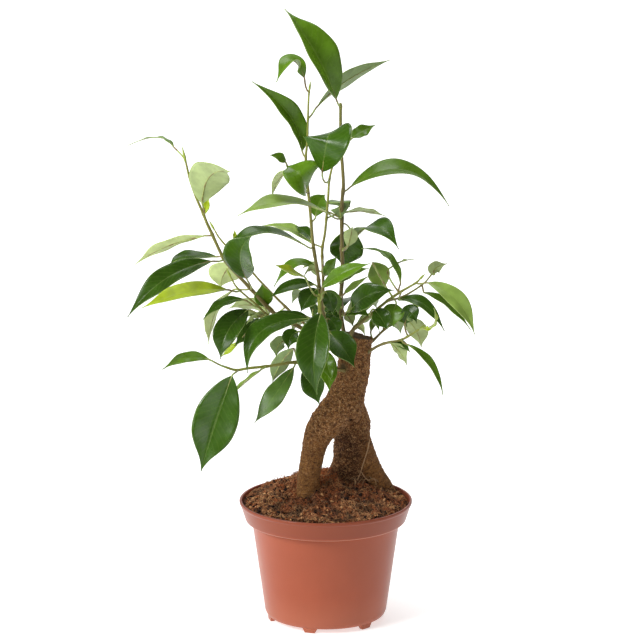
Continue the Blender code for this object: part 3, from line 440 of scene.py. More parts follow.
class ShootSettings(bpy.types.PropertyGroup):
    woody: colour_setting("Woody", "Colour of the old parts of the shoots", (0.150, 0.115, 0.028))
    young: colour_setting("Young", "Colour of the young parts of the shoots", (0.27, 0.32, 0.035))
    bud: colour_setting("Bud", "Colour of the buds", (0.36, 0.46, 0.06))


class LeafSettings(bpy.types.PropertyGroup):
    thickness: size_setting("Thickness", "Thickness of a blade", 0.4 * MM)
    wave: size_setting("Wave", "How far the edges of a blade rise and fall", 0.55 * MM)
    dark: colour_setting("Dark", "Upper side of an old leaf", (0.030, 0.078, 0.003))
    mid: colour_setting("Mid", "Upper side of a grown leaf", (0.080, 0.170, 0.006))
    light: colour_setting("Light", "Upper side of a leaf that is still soft", (0.185, 0.280, 0.050))
    lime: colour_setting("Lime", "Upper side of a young leaf", (0.38, 0.50, 0.015))
    pale: colour_setting("Pale", "Upper side of a leaf whose pale underside shows", (0.075, 0.155, 0.020))
    under: colour_setting("Underside", "Underside of an old leaf", (0.20, 0.29, 0.10))
    under_pale: colour_setting("Pale underside", "Underside of a grown leaf", (0.38, 0.47, 0.19))
    # Partly painted light: the young underside is made lighter to stand for the glow of backlit leaves.
    under_young_glow: colour_setting("Young underside", "Underside of a young leaf", (0.50, 0.60, 0.24))
    rib: colour_setting("Rib", "Midrib and edge of a blade", (0.36, 0.47, 0.12))
    stalk: colour_setting("Stalk", "Colour of the stalks", (0.19, 0.125, 0.035))


class StageSettings(bpy.types.PropertyGroup):
    floor: colour_setting("Floor", "Colour of the floor", (0.78, 0.78, 0.78))
    light: FloatProperty(name="Light", description="Strength of the soft boxes", default=1.0, min=0)


# ---------------------------------------------------------------- meshes and pieces


def working_object(name, data):
    made = bpy.data.objects.new(name, data)
    bpy.context.scene.collection.objects.link(made)
    return made


def place_piece(name, mesh, stands_for=(), smooth=True):
    """A finished piece: moved to the pot's place, riding on the part's one body."""
    mesh.transform(Matrix.Translation(POT_AXIS))
    mesh.name = name
    if smooth:
        mesh.shade_smooth()
    piece = working_object(name, mesh)
    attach(piece, "root")
    if stands_for:
        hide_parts(*stands_for)
    return piece


def aimed(name, data, place, aim):
    """A light or a camera that looks from one place to another, both measured from the pot's axis."""
    made = working_object(name, data)
    made.location = place + POT_AXIS
    made.rotation_euler = (aim + POT_AXIS - made.location).to_track_quat("-Z", "Y").to_euler()
    return made


def mesh_of(work, name):
    mesh = bpy.data.meshes.new(name)
    work.to_mesh(mesh)
    work.free()
    return mesh


def applied(thing):
    """The mesh of a working object with its modifiers or its bevel; the object is removed."""
    graph = bpy.context.evaluated_depsgraph_get()
    mesh = bpy.data.meshes.new_from_object(thing.evaluated_get(graph), preserve_all_data_layers=True,
                                           depsgraph=graph)
    bpy.data.objects.remove(thing)
    return mesh


def tubes(name, runs, sides):
    """Closed tapered tubes as one mesh. Each run holds the points of one tube, (x, y, z, radius)."""
    curve = bpy.data.curves.new(name, "CURVE")
    curve.dimensions = "3D"
    curve.bevel_depth = 1 * MM
    curve.bevel_resolution = sides // 2 - 2
    curve.use_fill_caps = True
    for run in runs:
        line = curve.splines.new("POLY")
        line.points.add(len(run) - 1)
        for place, point in zip(line.points, run):
            place.co = (*point[:3], 1)
            place.radius = point[3] / (1 * MM)
    mesh = applied(working_object(name, curve))
    work = bmesh.new()
    work.from_mesh(mesh)
    bmesh.ops.remove_doubles(work, verts=work.verts, dist=0.002 * MM)
    bmesh.ops.recalc_face_normals(work, faces=work.faces)
    work.to_mesh(mesh)
    work.free()
    return mesh


def turned(profile, sides):
    """A profile turned about the pot's axis. Its rows: radius, height and the corner's rounding in mm."""
    work = bmesh.new()
    corners = [work.verts.new((radius, 0, height)) for radius, height, _ in profile]
    for first, second in zip(corners, corners[1:]):
        work.edges.new((first, second))
    for corner, (_, _, rounding) in zip(corners, profile):
        if rounding:
            bmesh.ops.bevel(work, geom=[corner], offset=rounding * MM, offset_type="OFFSET", segments=4,
                            profile=0.5, affect="VERTICES", material=-1)
    bmesh.ops.spin(work, geom=work.verts[:] + work.edges[:], cent=(0, 0, 0), axis=(0, 0, 1), dvec=(0, 0, 0),
                   angle=math.tau, steps=sides, use_merge=True)
    bmesh.ops.remove_doubles(work, verts=work.verts, dist=0.01 * MM)
    return work


def spline_points(points, step):
    """Points about a step apart on a smooth curve through the given points."""
    knots = [Vector(point) for point in points]
    ends = [2 * knots[0] - knots[1], *knots, 2 * knots[-1] - knots[-2]]
    run = []
    for before, start, end, after in zip(ends, ends[1:], ends[2:], ends[3:]):
        count = max(1, round((end - start).length / step))
        for index in range(count):
            t = index / count
            bend = 2 * before - 5 * start + 4 * end - after
            twist = 3 * start - before - 3 * end + after
            run.append(start + 0.5 * ((end - before) * t + bend * t ** 2 + twist * t ** 3))
    return [*run, knots[-1]]


def held(value):
    """The value, held between 0 and 1."""
    return min(1, max(0, value))


def point_values(mesh, name, values):
    """Keeps one number per vertex for a material to read."""
    layer = mesh.attributes.new(name, "FLOAT", "POINT")
    layer.data.foreach_set("value", values)


# ---------------------------------------------------------------- material nodes


def source(beside, kind, **settings):
    """A node with its settings, in the same material as another node or output."""
    made = beside.id_data.nodes.new(kind)
    for key, value in settings.items():
        setattr(made, key, value)
    return made


def node(kind, inputs, **settings):
    """A node with its settings. Each input is a value or another node's output, with one such at least."""
    outputs = [value for value in inputs.values() if isinstance(value, bpy.types.NodeSocket)]
    made = source(outputs[0], kind, **settings)
    for key, value in inputs.items():
        if isinstance(value, bpy.types.NodeSocket):
            made.id_data.links.new(value, made.inputs[key])
        else:
            made.inputs[key].default_value = value
    return made


def maths(operation, first, second=0.0):
    inputs = {0: first} if operation in ("ABSOLUTE", "SINE") else {0: first, 1: second}
    return node("ShaderNodeMath", inputs, operation=operation).outputs[0]


def times(first, second):
    return maths("MULTIPLY", first, second)


def length_of(place):
    """How far a place is from zero."""
    return node("ShaderNodeVectorMath", {0: place}, operation="LENGTH").outputs["Value"]


def mixed(share, first, second):
    """Mixes two colours. A colour of three numbers is taken as opaque."""
    first, second = ((*value, 1) if not isinstance(value, bpy.types.NodeSocket) else value
                     for value in (first, second))
    return node("ShaderNodeMix", {0: share, 6: first, 7: second}, data_type="RGBA").outputs[2]


def cloudy(where, scale, detail=3.0, roughness=0.55, distortion=0.0):
    """Soft clouds from 0 to 1; a larger scale makes them smaller."""
    return node("ShaderNodeTexNoise", {"Vector": where, "Scale": scale, "Detail": detail,
                                       "Roughness": roughness, "Distortion": distortion}).outputs["Fac"]


def between(value, low, high, low_result=0.0, high_result=1.0):
    """Eases from one result to the other as the value goes from low to high."""
    return node("ShaderNodeMapRange", {"Value": value, "From Min": low, "From Max": high,
                                       "To Min": low_result, "To Max": high_result},
                interpolation_type="SMOOTHSTEP").outputs[0]


def tinted(tone, colour, value, low, high, most=1.0):
    """Lays a colour over a tone, not at all where the value is low and mostly where it is high."""
    return mixed(between(value, low, high, 0, most), tone, colour)


def shades(colour, *factors):
    """Darker and lighter tones of one colour."""
    return [[min(1, value * factor) for value in colour] for factor in factors]


def stretched(where, scale):
    return node("ShaderNodeMapping", {"Vector": where, "Scale": scale}).outputs[0]


def kept_value(beside, name):
    """The numbers kept by point_values()."""
    return source(beside, "ShaderNodeAttribute", attribute_name=name).outputs["Fac"]


def raised(height, distance, strength=1.0):
    return node("ShaderNodeBump", {"Height": height, "Distance": distance, "Strength": strength}).outputs[0]


def finish(name, **values):
    """A new material, its shader with set values, named with _ for a space, and the place on the object."""
    made = bpy.data.materials.new(name)
    made.use_nodes = True
    shader = made.node_tree.nodes["Principled BSDF"]
    for key, value in values.items():
        shader.inputs[key.replace("_", " ")].default_value = value
    return made, shader, source(shader, "ShaderNodeTexCoord").outputs["Object"]


def connect(shader, **sockets):
    """Links outputs to the shader's sockets, named with _ for a space."""
    for name, output in sockets.items():
        shader.id_data.links.new(output, shader.inputs[name.replace("_", " ")])


# ---------------------------------------------------------------- pot


def pot_plastic(colour):
    """Semi-gloss plastic: faint clouding, lighter towards the foot, painted shade on the band
    and a painted highlight along the step under it.
    """
    made, shader, where = finish("pot plastic", Specular_IOR_Level=0.24)
    clouds = cloudy(where, 26, 4)
    band_shade, faded = shades(colour, 0.72, 1.25)
    tone = mixed(between(clouds, 0.3, 0.75, 0, 0.35), colour, faded)
    height = node("ShaderNodeSeparateXYZ", {"Vector": where}).outputs["Z"]
    # Lighter and pinker towards the foot.
    tone = tinted(tone, LOWER_TINT, height, 30 * MM, 0, 0.22)
    scuffs = cloudy(stretched(where, (1, 1, 5)), 300, 2)
    rough = between(scuffs, 0.3, 0.75, 0.30, 0.33)
    grain = cloudy(where, 2600, 1)
    step = POT_BOX[1].z - BAND_HEIGHT
    # Painted shade: the band above the step is painted darker.
    tone = tinted(tone, band_shade, height, step, step + 2 * MM, 0.8)
    # Painted highlight: a light line along the step at the band's foot.
    step_highlight = times(between(height, step - 0.8 * MM, step),
                 between(height, step + 0.9 * MM, step + 0.2 * MM, 0, 0.45))
    tone = mixed(step_highlight, tone, STEP_HIGHLIGHT)
    connect(shader, Base_Color=tone, Roughness=rough, Normal=raised(grain, 0.02 * MM, 0.5))
    return made


def wall_radius(height, rim_radius, rim_height):
    """Outer radius of the pot at a height, above and below the foot of its band."""
    band_foot = rim_height - BAND_HEIGHT
    if height >= band_foot:
        return BAND_FOOT_RADIUS + (rim_radius - BAND_FOOT_RADIUS) * (height - band_foot) / BAND_HEIGHT
    share = (height - FOOT_HEIGHT) / (band_foot - FOOT_HEIGHT)
    return BODY_FOOT_RADIUS + (BODY_TOP_RADIUS - BODY_FOOT_RADIUS) * share


def pot_shell(settings):
    """The pot's wall, turned from its profile, with every corner of the profile rounded."""
    rim, top, wall = settings.rim_radius, settings.height, settings.wall
    band_foot = top - BAND_HEIGHT
    floor = FOOT_HEIGHT + FLOOR_THICKNESS
    profile = [
        (0, floor, 0), (wall_radius(floor, rim, top) - wall, floor, 1.2),
        (BODY_TOP_RADIUS - wall, band_foot + 1.2 * MM, 0.6),
        (BAND_FOOT_RADIUS - wall - 0.3 * MM, band_foot + wall, 0.6),
        (rim - wall - 0.5 * MM, top - 1.6 * MM, 0.4), (rim - wall - 0.1 * MM, top, 0.45),
        (rim, top, 0.6), (rim, top - 1.8 * MM, 0.45), (rim - 0.8 * MM, top - 2.7 * MM, 0.4),
        (BAND_FOOT_RADIUS + 0.1 * MM, band_foot + 0.5 * MM, 0.4),
        (BAND_FOOT_RADIUS - 0.9 * MM, band_foot - 0.2 * MM, 0.3),
        (BODY_TOP_RADIUS, band_foot + 0.1 * MM, 0.5),
        (BODY_FOOT_RADIUS + 0.3 * MM, FOOT_HEIGHT + 2.4 * MM, 1.6),
        (BODY_FOOT_RADIUS - 1.4 * MM, FOOT_HEIGHT, 0.8),
        (HOLE_RING_RADIUS + 7 * MM, FOOT_HEIGHT, 0), (0, FOOT_HEIGHT, 0),
    ]
    work = turned(profile, POT_SIDES)
    bmesh.ops.recalc_face_normals(work, faces=work.faces)
    return mesh_of(work, "pot shell")


def pot_feet():
    """Trapezoid feet under the base's edge, narrower at the bottom, with soft edges."""
    joined = bmesh.new()
    middle = BODY_FOOT_RADIUS - 1.5 * MM - FOOT_DEPTH / 2
    sunk = 1 * MM
    for index in range(FOOT_COUNT):
        made = bmesh.ops.create_cube(joined, size=1)["verts"]
        for corner in made:
            width = FOOT_TOP_WIDTH if corner.co.z > 0 else FOOT_BOTTOM_WIDTH
            height = FOOT_HEIGHT + sunk if corner.co.z > 0 else 0
            corner.co = Vector((middle + corner.co.x * FOOT_DEPTH, corner.co.y * width, height))
        angle = math.radians(FOOT_FIRST_ANGLE + 360 / FOOT_COUNT * index)
        bmesh.ops.rotate(joined, verts=made, cent=(0, 0, 0), matrix=Matrix.Rotation(angle, 3, "Z"))
    bmesh.ops.bevel(joined, geom=joined.edges[:], offset=0.35 * MM, offset_type="OFFSET", segments=2,
                    profile=0.5, affect="EDGES", material=-1)
    return mesh_of(joined, "pot feet")


def drain_holes():
    joined = bmesh.new()
    for index in range(FOOT_COUNT):
        angle = math.radians(FOOT_FIRST_ANGLE + 360 / FOOT_COUNT * (index + 0.5))
        place = Vector((math.cos(angle), math.sin(angle), 0)) * HOLE_RING_RADIUS
        place.z = FOOT_HEIGHT + FLOOR_THICKNESS / 2
        bmesh.ops.create_cone(joined, cap_ends=True, segments=32, radius1=HOLE_RADIUS, radius2=HOLE_RADIUS,
                              depth=4 * FLOOR_THICKNESS, matrix=Matrix.Translation(place))
    return mesh_of(joined, "drain holes")


def boolean(target, mesh, operation):
    tool = working_object(f"{target.name} {operation.lower()}", mesh)
    cut = target.modifiers.new(tool.name, "BOOLEAN")
    cut.operation = operation
    cut.object = tool
    return tool


# ---------------------------------------------------------------- soil


def soil_height(x, y, radius):
    """Height of the soil: heaped up between the legs, lumpy, falling to its edge at the pot's wall."""
    spot = Vector((x, y, 0))
    from_heap = (spot.xy - SOIL_HEAP).length / SOIL_HEAP_REACH
    from_wall = max(0, 1 - (spot.length / radius) ** 8)
    lumps = noise.noise(spot / MM * 0.09) * 2.6 + noise.noise(spot / MM * 0.21 + Vector((7, 3, 0))) * 1.7
    return SOIL_EDGE_HEIGHT + (SOIL_HEAP_RISE * math.exp(-from_heap ** 2) + lumps * MM) * from_wall


def lit_heap(where, tone, settings):
    """Painted light: the heap between the legs, in the trunk's shade, is painted lighter and redder."""
    middle = SOIL_HEAP.to_3d() + POT_AXIS
    spot = node("ShaderNodeMapping", {"Vector": where, "Location": -middle}).outputs[0]
    away = length_of(stretched(spot, (1, 1, 0)))
    heap_light, = shades(settings.red, 2.2)
    return tinted(tone, heap_light, away, 27 * MM, 10 * MM, 0.55)


def potting_mix(settings):
    """Peat and coir: dark hollows, red-brown crumbs and orange flecks."""
    made, shader, where = finish("potting mix", Roughness=0.9, Specular_IOR_Level=0.25)
    cells = node("ShaderNodeTexVoronoi", {"Vector": where, "Scale": 620.0, "Randomness": 1.0})
    fine = cloudy(where, 900, 4, 0.7)
    broad = cloudy(where, 75, 3)
    tone = mixed(between(fine, 0.38, 0.66), settings.dark, settings.red)
    lively = times(between(cells.outputs["Color"], 0.62, 0.95), between(broad, 0.42, 0.62))
    tone = mixed(lively, tone, settings.orange)
    tone = tinted(tone, settings.dark, broad, 0.56, 0.34, 0.65)
    # Painted light: the soil heaped between the legs is lighter and redder.
    tone = lit_heap(where, tone, settings)
    relief = maths("ADD", times(cells.outputs["Distance"], -0.8), fine)
    connect(shader, Base_Color=tone, Normal=raised(relief, 0.7 * MM))
    return made


def crumb_finish(settings):
    """The loose crumbs, each with its own tone."""
    made, shader, where = finish("soil crumbs", Roughness=0.88, Specular_IOR_Level=0.25)
    tint = kept_value(shader, "tint")
    tone = mixed(between(tint, 0.15, 0.45), settings.dark, settings.red)
    tone = tinted(tone, settings.orange, tint, 0.7, 0.95)
    # Painted light: the soil heaped between the legs is lighter and redder.
    tone = lit_heap(where, tone, settings)
    tone = tinted(tone, settings.dark, cloudy(where, 120, 3), 0.50, 0.38, 0.8)
    fine = cloudy(where, 1500, 3, 0.7)
    tone = tinted(tone, settings.dark, fine, 0.6, 0.35, 0.6)
    connect(shader, Base_Color=tone, Normal=raised(fine, 0.3 * MM))
    return made


def fibre_finish(settings):
    """Coir: red-brown to straw, darker where it is moist."""
    made, shader, where = finish("coir fibre", Roughness=0.7)
    tone = mixed(between(cloudy(where, 60, 3), 0.4, 0.62), settings.fibre, settings.red)
    tone = tinted(tone, settings.dark, cloudy(where, 420, 2), 0.5, 0.7)
    tone = tinted(tone, settings.dark, cloudy(where, 120, 3), 0.50, 0.38, 0.7)
    connect(shader, Base_Color=tone)
    return made


def soil_bed(radius):
    """The soil's lumpy surface, turned from a radius and given a skirt down inside the pot."""
    work = turned([(radius * index / SOIL_RINGS, 0, 0) for index in range(SOIL_RINGS + 1)], SOIL_SIDES)
    for corner in work.verts:
        x, y, _ = corner.co
        spot = Vector((x, y, 0)) / MM
        inside = max(0, 1 - (math.hypot(x, y) / radius) ** 12)
        rough = noise.fractal(spot * 0.5, 0.9, 2.1, 4) * 1.3 * MM * inside
        corner.co.z = soil_height(x, y, radius) + rough
    rim = [edge for edge in work.edges if edge.is_boundary]
    skirt = bmesh.ops.extrude_edge_only(work, edges=rim)["geom"]
    for corner in (item for item in skirt if isinstance(item, bmesh.types.BMVert)):
        corner.co.z = SOIL_EDGE_HEIGHT - SOIL_SKIRT
        corner.co.x *= 0.97
        corner.co.y *= 0.97
    lower = [item for item in skirt if isinstance(item, bmesh.types.BMEdge)]
    bmesh.ops.contextual_create(work, geom=lower)
    bmesh.ops.recalc_face_normals(work, faces=work.faces)
    return mesh_of(work, "soil bed")


def soil_crumbs(count, radius):
    """Loose angular crumbs, pressed into the surface of the soil."""
    rng = random.Random(CRUMB_SEED)
    work = bmesh.new()
    tint = work.verts.layers.float.new("tint")
    for _ in range(count):
        reach = radius * math.sqrt(rng.random()) * 0.985
        angle = rng.uniform(0, math.tau)
        x, y = reach * math.cos(angle), reach * math.sin(angle)
        size = MM * rng.uniform(*CRUMB_SIZES) * (1.9 if rng.random() < 0.2 else 1)
        size *= 0.7 if reach > radius * 0.95 else 1
        turn = Matrix.Rotation(rng.uniform(0, math.tau), 4, Vector([rng.uniform(-1, 1) for _ in range(3)]))
        flat = Matrix.Diagonal((rng.uniform(0.7, 1.4), rng.uniform(0.7, 1.2), rng.uniform(0.5, 1), 1))
        place = Matrix.Translation((x, y, soil_height(x, y, radius) + size * rng.uniform(0.1, 0.9)))
        made = bmesh.ops.create_icosphere(work, subdivisions=1, radius=size,
                                          matrix=place @ turn @ flat)["verts"]
        shade = rng.random()
        for corner in made:
            corner.co += Vector([rng.uniform(-0.25, 0.25) * size for _ in range(3)])
            corner[tint] = shade
    return mesh_of(work, "soil crumbs")


def fibre_runs(count, radius):
    """Coir fibres: short bent threads lying on the soil, some of them standing off it."""
    rng = random.Random(FIBRE_SEED)
    runs = []
    for _ in range(count):
        reach = radius * math.sqrt(rng.random()) * 0.93
        angle = rng.uniform(0, math.tau)
        spot = Vector((reach * math.cos(angle), reach * math.sin(angle), 0))
        heading = rng.uniform(0, math.tau)
        length = rng.uniform(*FIBRE_LENGTHS) * MM
        lift = rng.uniform(0.3, 1.6) * MM if rng.random() < 0.93 else rng.uniform(2, 4.5) * MM
        thick = rng.uniform(*FIBRE_RADII) * MM
        bend = rng.uniform(-0.6, 0.6)
        run = []
        for step in range(FIBRE_STEPS + 1):
            share = step / FIBRE_STEPS
            high = soil_height(spot.x, spot.y, radius) + 0.3 * MM + lift * math.sin(math.pi * share)
            run.append((spot.x, spot.y, high, thick * (1.1 - 0.5 * share)))
            spot += Vector((math.cos(heading), math.sin(heading), 0)) * length / FIBRE_STEPS
            heading += bend
            if spot.length > radius * 0.97:
                break
        if len(run) > 2:
            runs.append(run)
    return runs


# ---------------------------------------------------------------- trunk


def bark(settings):
    """Corky bark: light flakes and ticks across each limb, dark pits, damp and smooth legs, a greenish
    scar and a crease where the column overhangs the rear leg, painted dark as shade."""
    made, shader, where = finish("bark", Specular_IOR_Level=0.18)
    x, y, _ = node("ShaderNodeSeparateXYZ", {"Vector": where}).outputs
    along = times(kept_value(shader, "along"), MM)
    ringed = node("ShaderNodeCombineXYZ", {"X": x, "Y": y, "Z": along}).outputs[0]
    high, smooth, damp = (kept_value(shader, name) for name in ("high", "smooth", "damp"))
    broad = cloudy(where, 60, 4)
    mottle = cloudy(where, 520, 5, 0.7)
    ticks = cloudy(stretched(ringed, (0.22, 0.22, 1)), 1700, 3, 0.65)
    cracks = cloudy(stretched(ringed, (0.07, 0.07, 1)), 1150, 2, 0.5)
    rough_tone = mixed(between(mottle, 0.32, 0.68), *shades(settings.bark, 0.5, 1.5))
    smooth_tone = mixed(between(mottle, 0.3, 0.7), *shades(settings.olive, 0.75, 1.2))
    tone = mixed(times(smooth, between(broad, 0.3, 0.6, 0.55, 1)), rough_tone, smooth_tone)
    damp_share = times(damp, between(broad, 0.3, 0.65, 0.95, 0.7))
    tone = mixed(damp_share, tone, settings.damp)
    tone = tinted(tone, settings.light, high, 0.55, 0.85, 0.35)
    tone = tinted(tone, settings.light, ticks, 0.60, 0.70, 0.5)
    flakes = cloudy(where, 430.0, 5.0, 0.65, 3.2)
    flaky = times(between(flakes, 0.54, 0.60), between(smooth, 0, 1, 0.8, 0.2))
    tone = mixed(flaky, tone, settings.light)
    tone = tinted(tone, settings.dark, flakes, 0.46, 0.38, 0.75)
    tone = tinted(tone, settings.dark, high, 0.40, 0.14, 0.6)
    cracked = times(between(cracks, 0.40, 0.30), between(smooth, 0, 1, 0.25, 0.7))
    tone = mixed(cracked, tone, settings.dark)
    tone = mixed(kept_value(shader, "scar"), tone, SCAR_TONE)
    # Painted shade: the crease under the column's overhang is darkened.
    tone = mixed(times(kept_value(shader, "crease_dent_and_shade"), 0.92), tone, settings.dark)
    relief = maths("ADD", times(ticks, 1.1), mottle)
    relief = maths("ADD", relief, between(cracks, 0.30, 0.45))
    relief = maths("ADD", relief, between(flakes, 0.38, 0.6, 0, 0.8))
    connect(shader, Base_Color=tone, Normal=raised(relief, 0.5 * MM),
            Roughness=between(mottle, 0.3, 0.7, 0.6, 0.85))
    return made


def cut_wood(colour):
    """The sawn top: rings, stains and a darkened edge."""
    made, shader, where = finish("cut wood", Roughness=0.85, Specular_IOR_Level=0.15)
    where = node("ShaderNodeMapping", {"Vector": where, "Location": -(CUT_POINT + POT_AXIS)}).outputs[0]
    rings = node("ShaderNodeTexWave", {"Vector": where, "Scale": 190.0, "Distortion": 2.2, "Detail": 2.0},
                 wave_type="RINGS", rings_direction="Z").outputs["Fac"]
    tone = mixed(rings, *shades(colour, 0.6, 1))
    stain = cloudy(where, 170, 4, 0.6)
    tone = tinted(tone, (0.11, 0.085, 0.035), stain, 0.45, 0.7, 0.6)
    tone = tinted(tone, (0.10, 0.06, 0.03), length_of(where), 8.5 * MM, 10.5 * MM)
    connect(shader, Base_Color=tone, Normal=raised(rings, 0.12 * MM))
    return made


class LimbLine:
    """A limb's points, in mm, each with the way up the limb and its height measured along the limb."""

    def __init__(self, limb):
        self.points = spline_points(limb, 2)
        self.tree = KDTree(len(self.points))
        self.rows = []
        height = self.points[0].z
        for index, point in enumerate(self.points):
            self.tree.insert(point.xyz, index)
            above = self.points[max(0, index - 1)]
            below = self.points[min(len(self.points) - 1, index + 1)]
            if index:
                height -= (point.xyz - above.xyz).length
            self.rows.append((point, (above.xyz - below.xyz).normalized(), height))
        self.tree.balance()

    def near(self, spot):
        """How near a spot is to the limb's surface, as a weight, and its height along the limb."""
        point, up, height = self.rows[self.tree.find(spot)[1]]
        away = (point.xyz - spot).length - point[3]
        return math.exp(-0.75 * max(-4, away)), height + (spot - point.xyz).dot(up)


def trunk_body():
    """The limbs are fused and relaxed into one body, then cut off at the top."""
    joined = bmesh.new()
    for index, limb in enumerate(LIMBS):
        knots = [[value * MM for value in point] for point in limb]
        joined.from_mesh(tubes(f"limb {index + 1}", [spline_points(knots, LIMB_STEP)], sides=24))
    trunk = working_object("trunk", mesh_of(joined, "trunk"))
    fuse = trunk.modifiers.new("fuse", "REMESH")
    fuse.mode = "VOXEL"
    fuse.voxel_size = TRUNK_VOXEL
    relax = trunk.modifiers.new("relax", "SMOOTH")
    relax.factor = 0.5
    relax.iterations = TRUNK_RELAX_STEPS
    work = bmesh.new()
    work.from_mesh(applied(trunk))
    cut = bmesh.ops.bisect_plane(work, geom=work.verts[:] + work.edges[:] + work.faces[:], dist=0.01 * MM,
                                 plane_co=CUT_POINT, plane_no=CUT_NORMAL, clear_outer=True)
    rim = [item for item in cut["geom_cut"] if isinstance(item, bmesh.types.BMEdge)]
    top = bmesh.ops.contextual_create(work, geom=rim)["faces"]
    bmesh.ops.inset_region(work, faces=top, thickness=CUT_RIM, depth=-CUT_SUNK, use_even_offset=True)
    for face in top:
        face.material_index = 1
    bmesh.ops.recalc_face_normals(work, faces=work.faces)
    work.normal_update()
    return work


def weather(work, relief):
    """Raises the bark's relief and measures what the bark's material reads, one number per vertex."""
    lines = [LimbLine(limb) for limb in LIMBS]
    kept = {"along": [], "smooth": [], "damp": [], "scar": [], "high": [], "crease_dent_and_shade": []}
    on_top = {corner.index for face in work.faces if face.material_index == 1 for corner in face.verts}
    moved = []
    for corner in work.verts:
        spot = corner.co / MM
        near = [line.near(spot) for line in lines]
        total = sum(weight for weight, _ in near)
        along = sum(weight * height for weight, height in near) / total
        column, front, rear, right = (near[index][0] / total for index in (0, 1, 2, 3))
        # The crease under the column is dented in, and the bark paints it dark as shade.
        crease_dent_and_shade = held(1.4 - abs(column - rear) / 0.3) * held((column + rear - 0.6) / 0.2)
        crease_dent_and_shade *= held((spot.z - CREASE_FOOT) / 8) * held((CREASE_TOP - spot.z) / 8)
        kept["crease_dent_and_shade"].append(crease_dent_and_shade)
        scar = held(1.7 - (corner.co - SCAR_POINT).length / SCAR_RADIUS)
        smooth = held((front + right) * 1.2) * held((LEG_TOP - spot.z) / 22)
        kept["along"].append(along)
        kept["smooth"].append(smooth)
        kept["damp"].append(held(rear * 1.3) * held((LEG_TOP - spot.z) / 14))
        kept["scar"].append(scar)
        rough = (1 - 0.5 * smooth) * (1 - scar)
        ringed = Vector((spot.x * 0.13, spot.y * 0.13, along * 0.62))
        lumps = noise.fractal(spot * 0.10, 1.0, 2.0, 3) * 1.6 * rough
        rings = noise.fractal(ringed, 0.8, 2.1, 2) * (0.15 + 0.35 * smooth)
        scales = noise.fractal(Vector((spot.x * 0.5, spot.y * 0.5, along * 0.62)), 0.6, 2.1, 4) * rough
        pits = max(0, noise.noise(Vector((spot.x * 0.3, spot.y * 0.3, along * 0.5 + 31))) - 0.3) * 2 * rough
        high = rings + scales - pits
        kept["high"].append(0.5 + high * 0.5)
        moved.append(relief * (lumps + high) - crease_dent_and_shade * MM if corner.index not in on_top else 0)
    for corner, rise in zip(work.verts, moved):
        corner.co += corner.normal * rise
    return kept


def root_strands():
    """Thin dry roots: one hangs across the rear leg, a few come out of the soil at its foot."""
    rng = random.Random(ROOT_SEED)
    runs = [[(30.5, -0.5, 129, 0.35), (29.5, -1.5, 123, 0.45), (28, -0.5, 117, 0.4), (26, 2, 110, 0.4),
             (24.5, 4, 104, 0.45), (22, 4.5, 97, 0.35)],
            [(24.5, 4, 104, 0.3), (27, 3, 100, 0.3), (31, 4, 96, 0.25)]]
    for _ in range(LOOSE_ROOTS):
        x, y = rng.uniform(12, 40), rng.uniform(2, 10)
        way = rng.uniform(0, math.tau)
        run = []
        for step in range(ROOT_POINTS):
            rise = 2.5 * math.sin(math.pi * step / (ROOT_POINTS - 1))
            run.append((x, y, ROOT_TOP - step * 0.3 + rise, rng.uniform(0.15, 0.3)))
            x += math.cos(way) * 1.7
            y += math.sin(way) * 1.2
            way += rng.uniform(-0.5, 0.5)
        runs.append(run)
    return [spline_points([[value * MM for value in point] for point in run], ROOT_STEP) for run in runs]


# ---------------------------------------------------------------- crown


def crown(point):
    """Where a point of the layout, in mm, is on the plant, in metres."""
    x, y, z, *radius = point
    share = min(1, (Vector((x, y, z)) - CROWN_CENTRE).length / CROWN_START)
    deeper = y * (CROWN_DEPTH - 1) * share
    return Vector((x, y + deeper, z - CROWN_LEAN * deeper, *radius)) * MM


def shoot_layout(name, step=LAYOUT_STEP):
    """The points of a shoot in the layout, with its radius, tapering evenly from foot to tip."""
    points, foot_radius, tip_radius = SHOOTS[name]
    taper = (tip_radius - foot_radius) / (len(points) - 1)
    knots = [(*point, foot_radius + taper * index) for index, point in enumerate(points)]
    return spline_points(knots, step)


def node_on(name, spot):
    """A node of a shoot, seen from the front at (x, z) in the layout: its centre, radius and direction, and
    whether it is the shoot's tip."""
    layout = shoot_layout(name)
    places = [
        start.lerp(end, step / 8) for start, end in zip(layout, layout[1:]) for step in range(8)
    ] + layout[-1:]
    nearest = min(range(len(places)), key=lambda index: math.hypot(places[index][0] - spot[0],
                                                                  places[index][2] - spot[1]))
    at_tip = nearest == len(places) - 1
    first = nearest - 1 if at_tip else nearest
    along = (crown(places[first + 1]) - crown(places[first])).xyz.normalized()
    place = crown(places[nearest])
    return place.xyz, place[3], along, at_tip


def leaving(name, spot, towards, sunk):
    """Where a stalk or a side shoot leaves a node towards a point, and which way."""
    centre, radius, along, at_tip = node_on(name, spot)
    if at_tip:
        return centre - along * sunk, along
    out = towards - centre
    out = (out - along * out.dot(along)).normalized()
    return centre + out * (radius - sunk), out


def shoot_points(name):
    """The points of a shoot on the plant. A side shoot starts square to the shoot that it branches from."""
    points = [crown(point) for point in shoot_layout(name, SHOOT_STEP / MM)]
    if name in BRANCHES:
        start, out = leaving(*BRANCHES[name], points[3].xyz, SHOOT_SUNK)
        radius = points[0][3]
        points[0:3] = [Vector((*start, radius * 1.25)), Vector((*(start + 1.6 * MM * out), radius))]
    return points


def node_rings(name):
    """Where leaves leave a shoot: its nodes, which are a little thicker."""
    spots = [leaf.node for leaf in ALL_LEAVES.values() if leaf.shoot == name]
    spots += [spot for parent, spot in BRANCHES.values() if parent == name]
    return [node_on(name, spot)[0] for spot in spots]


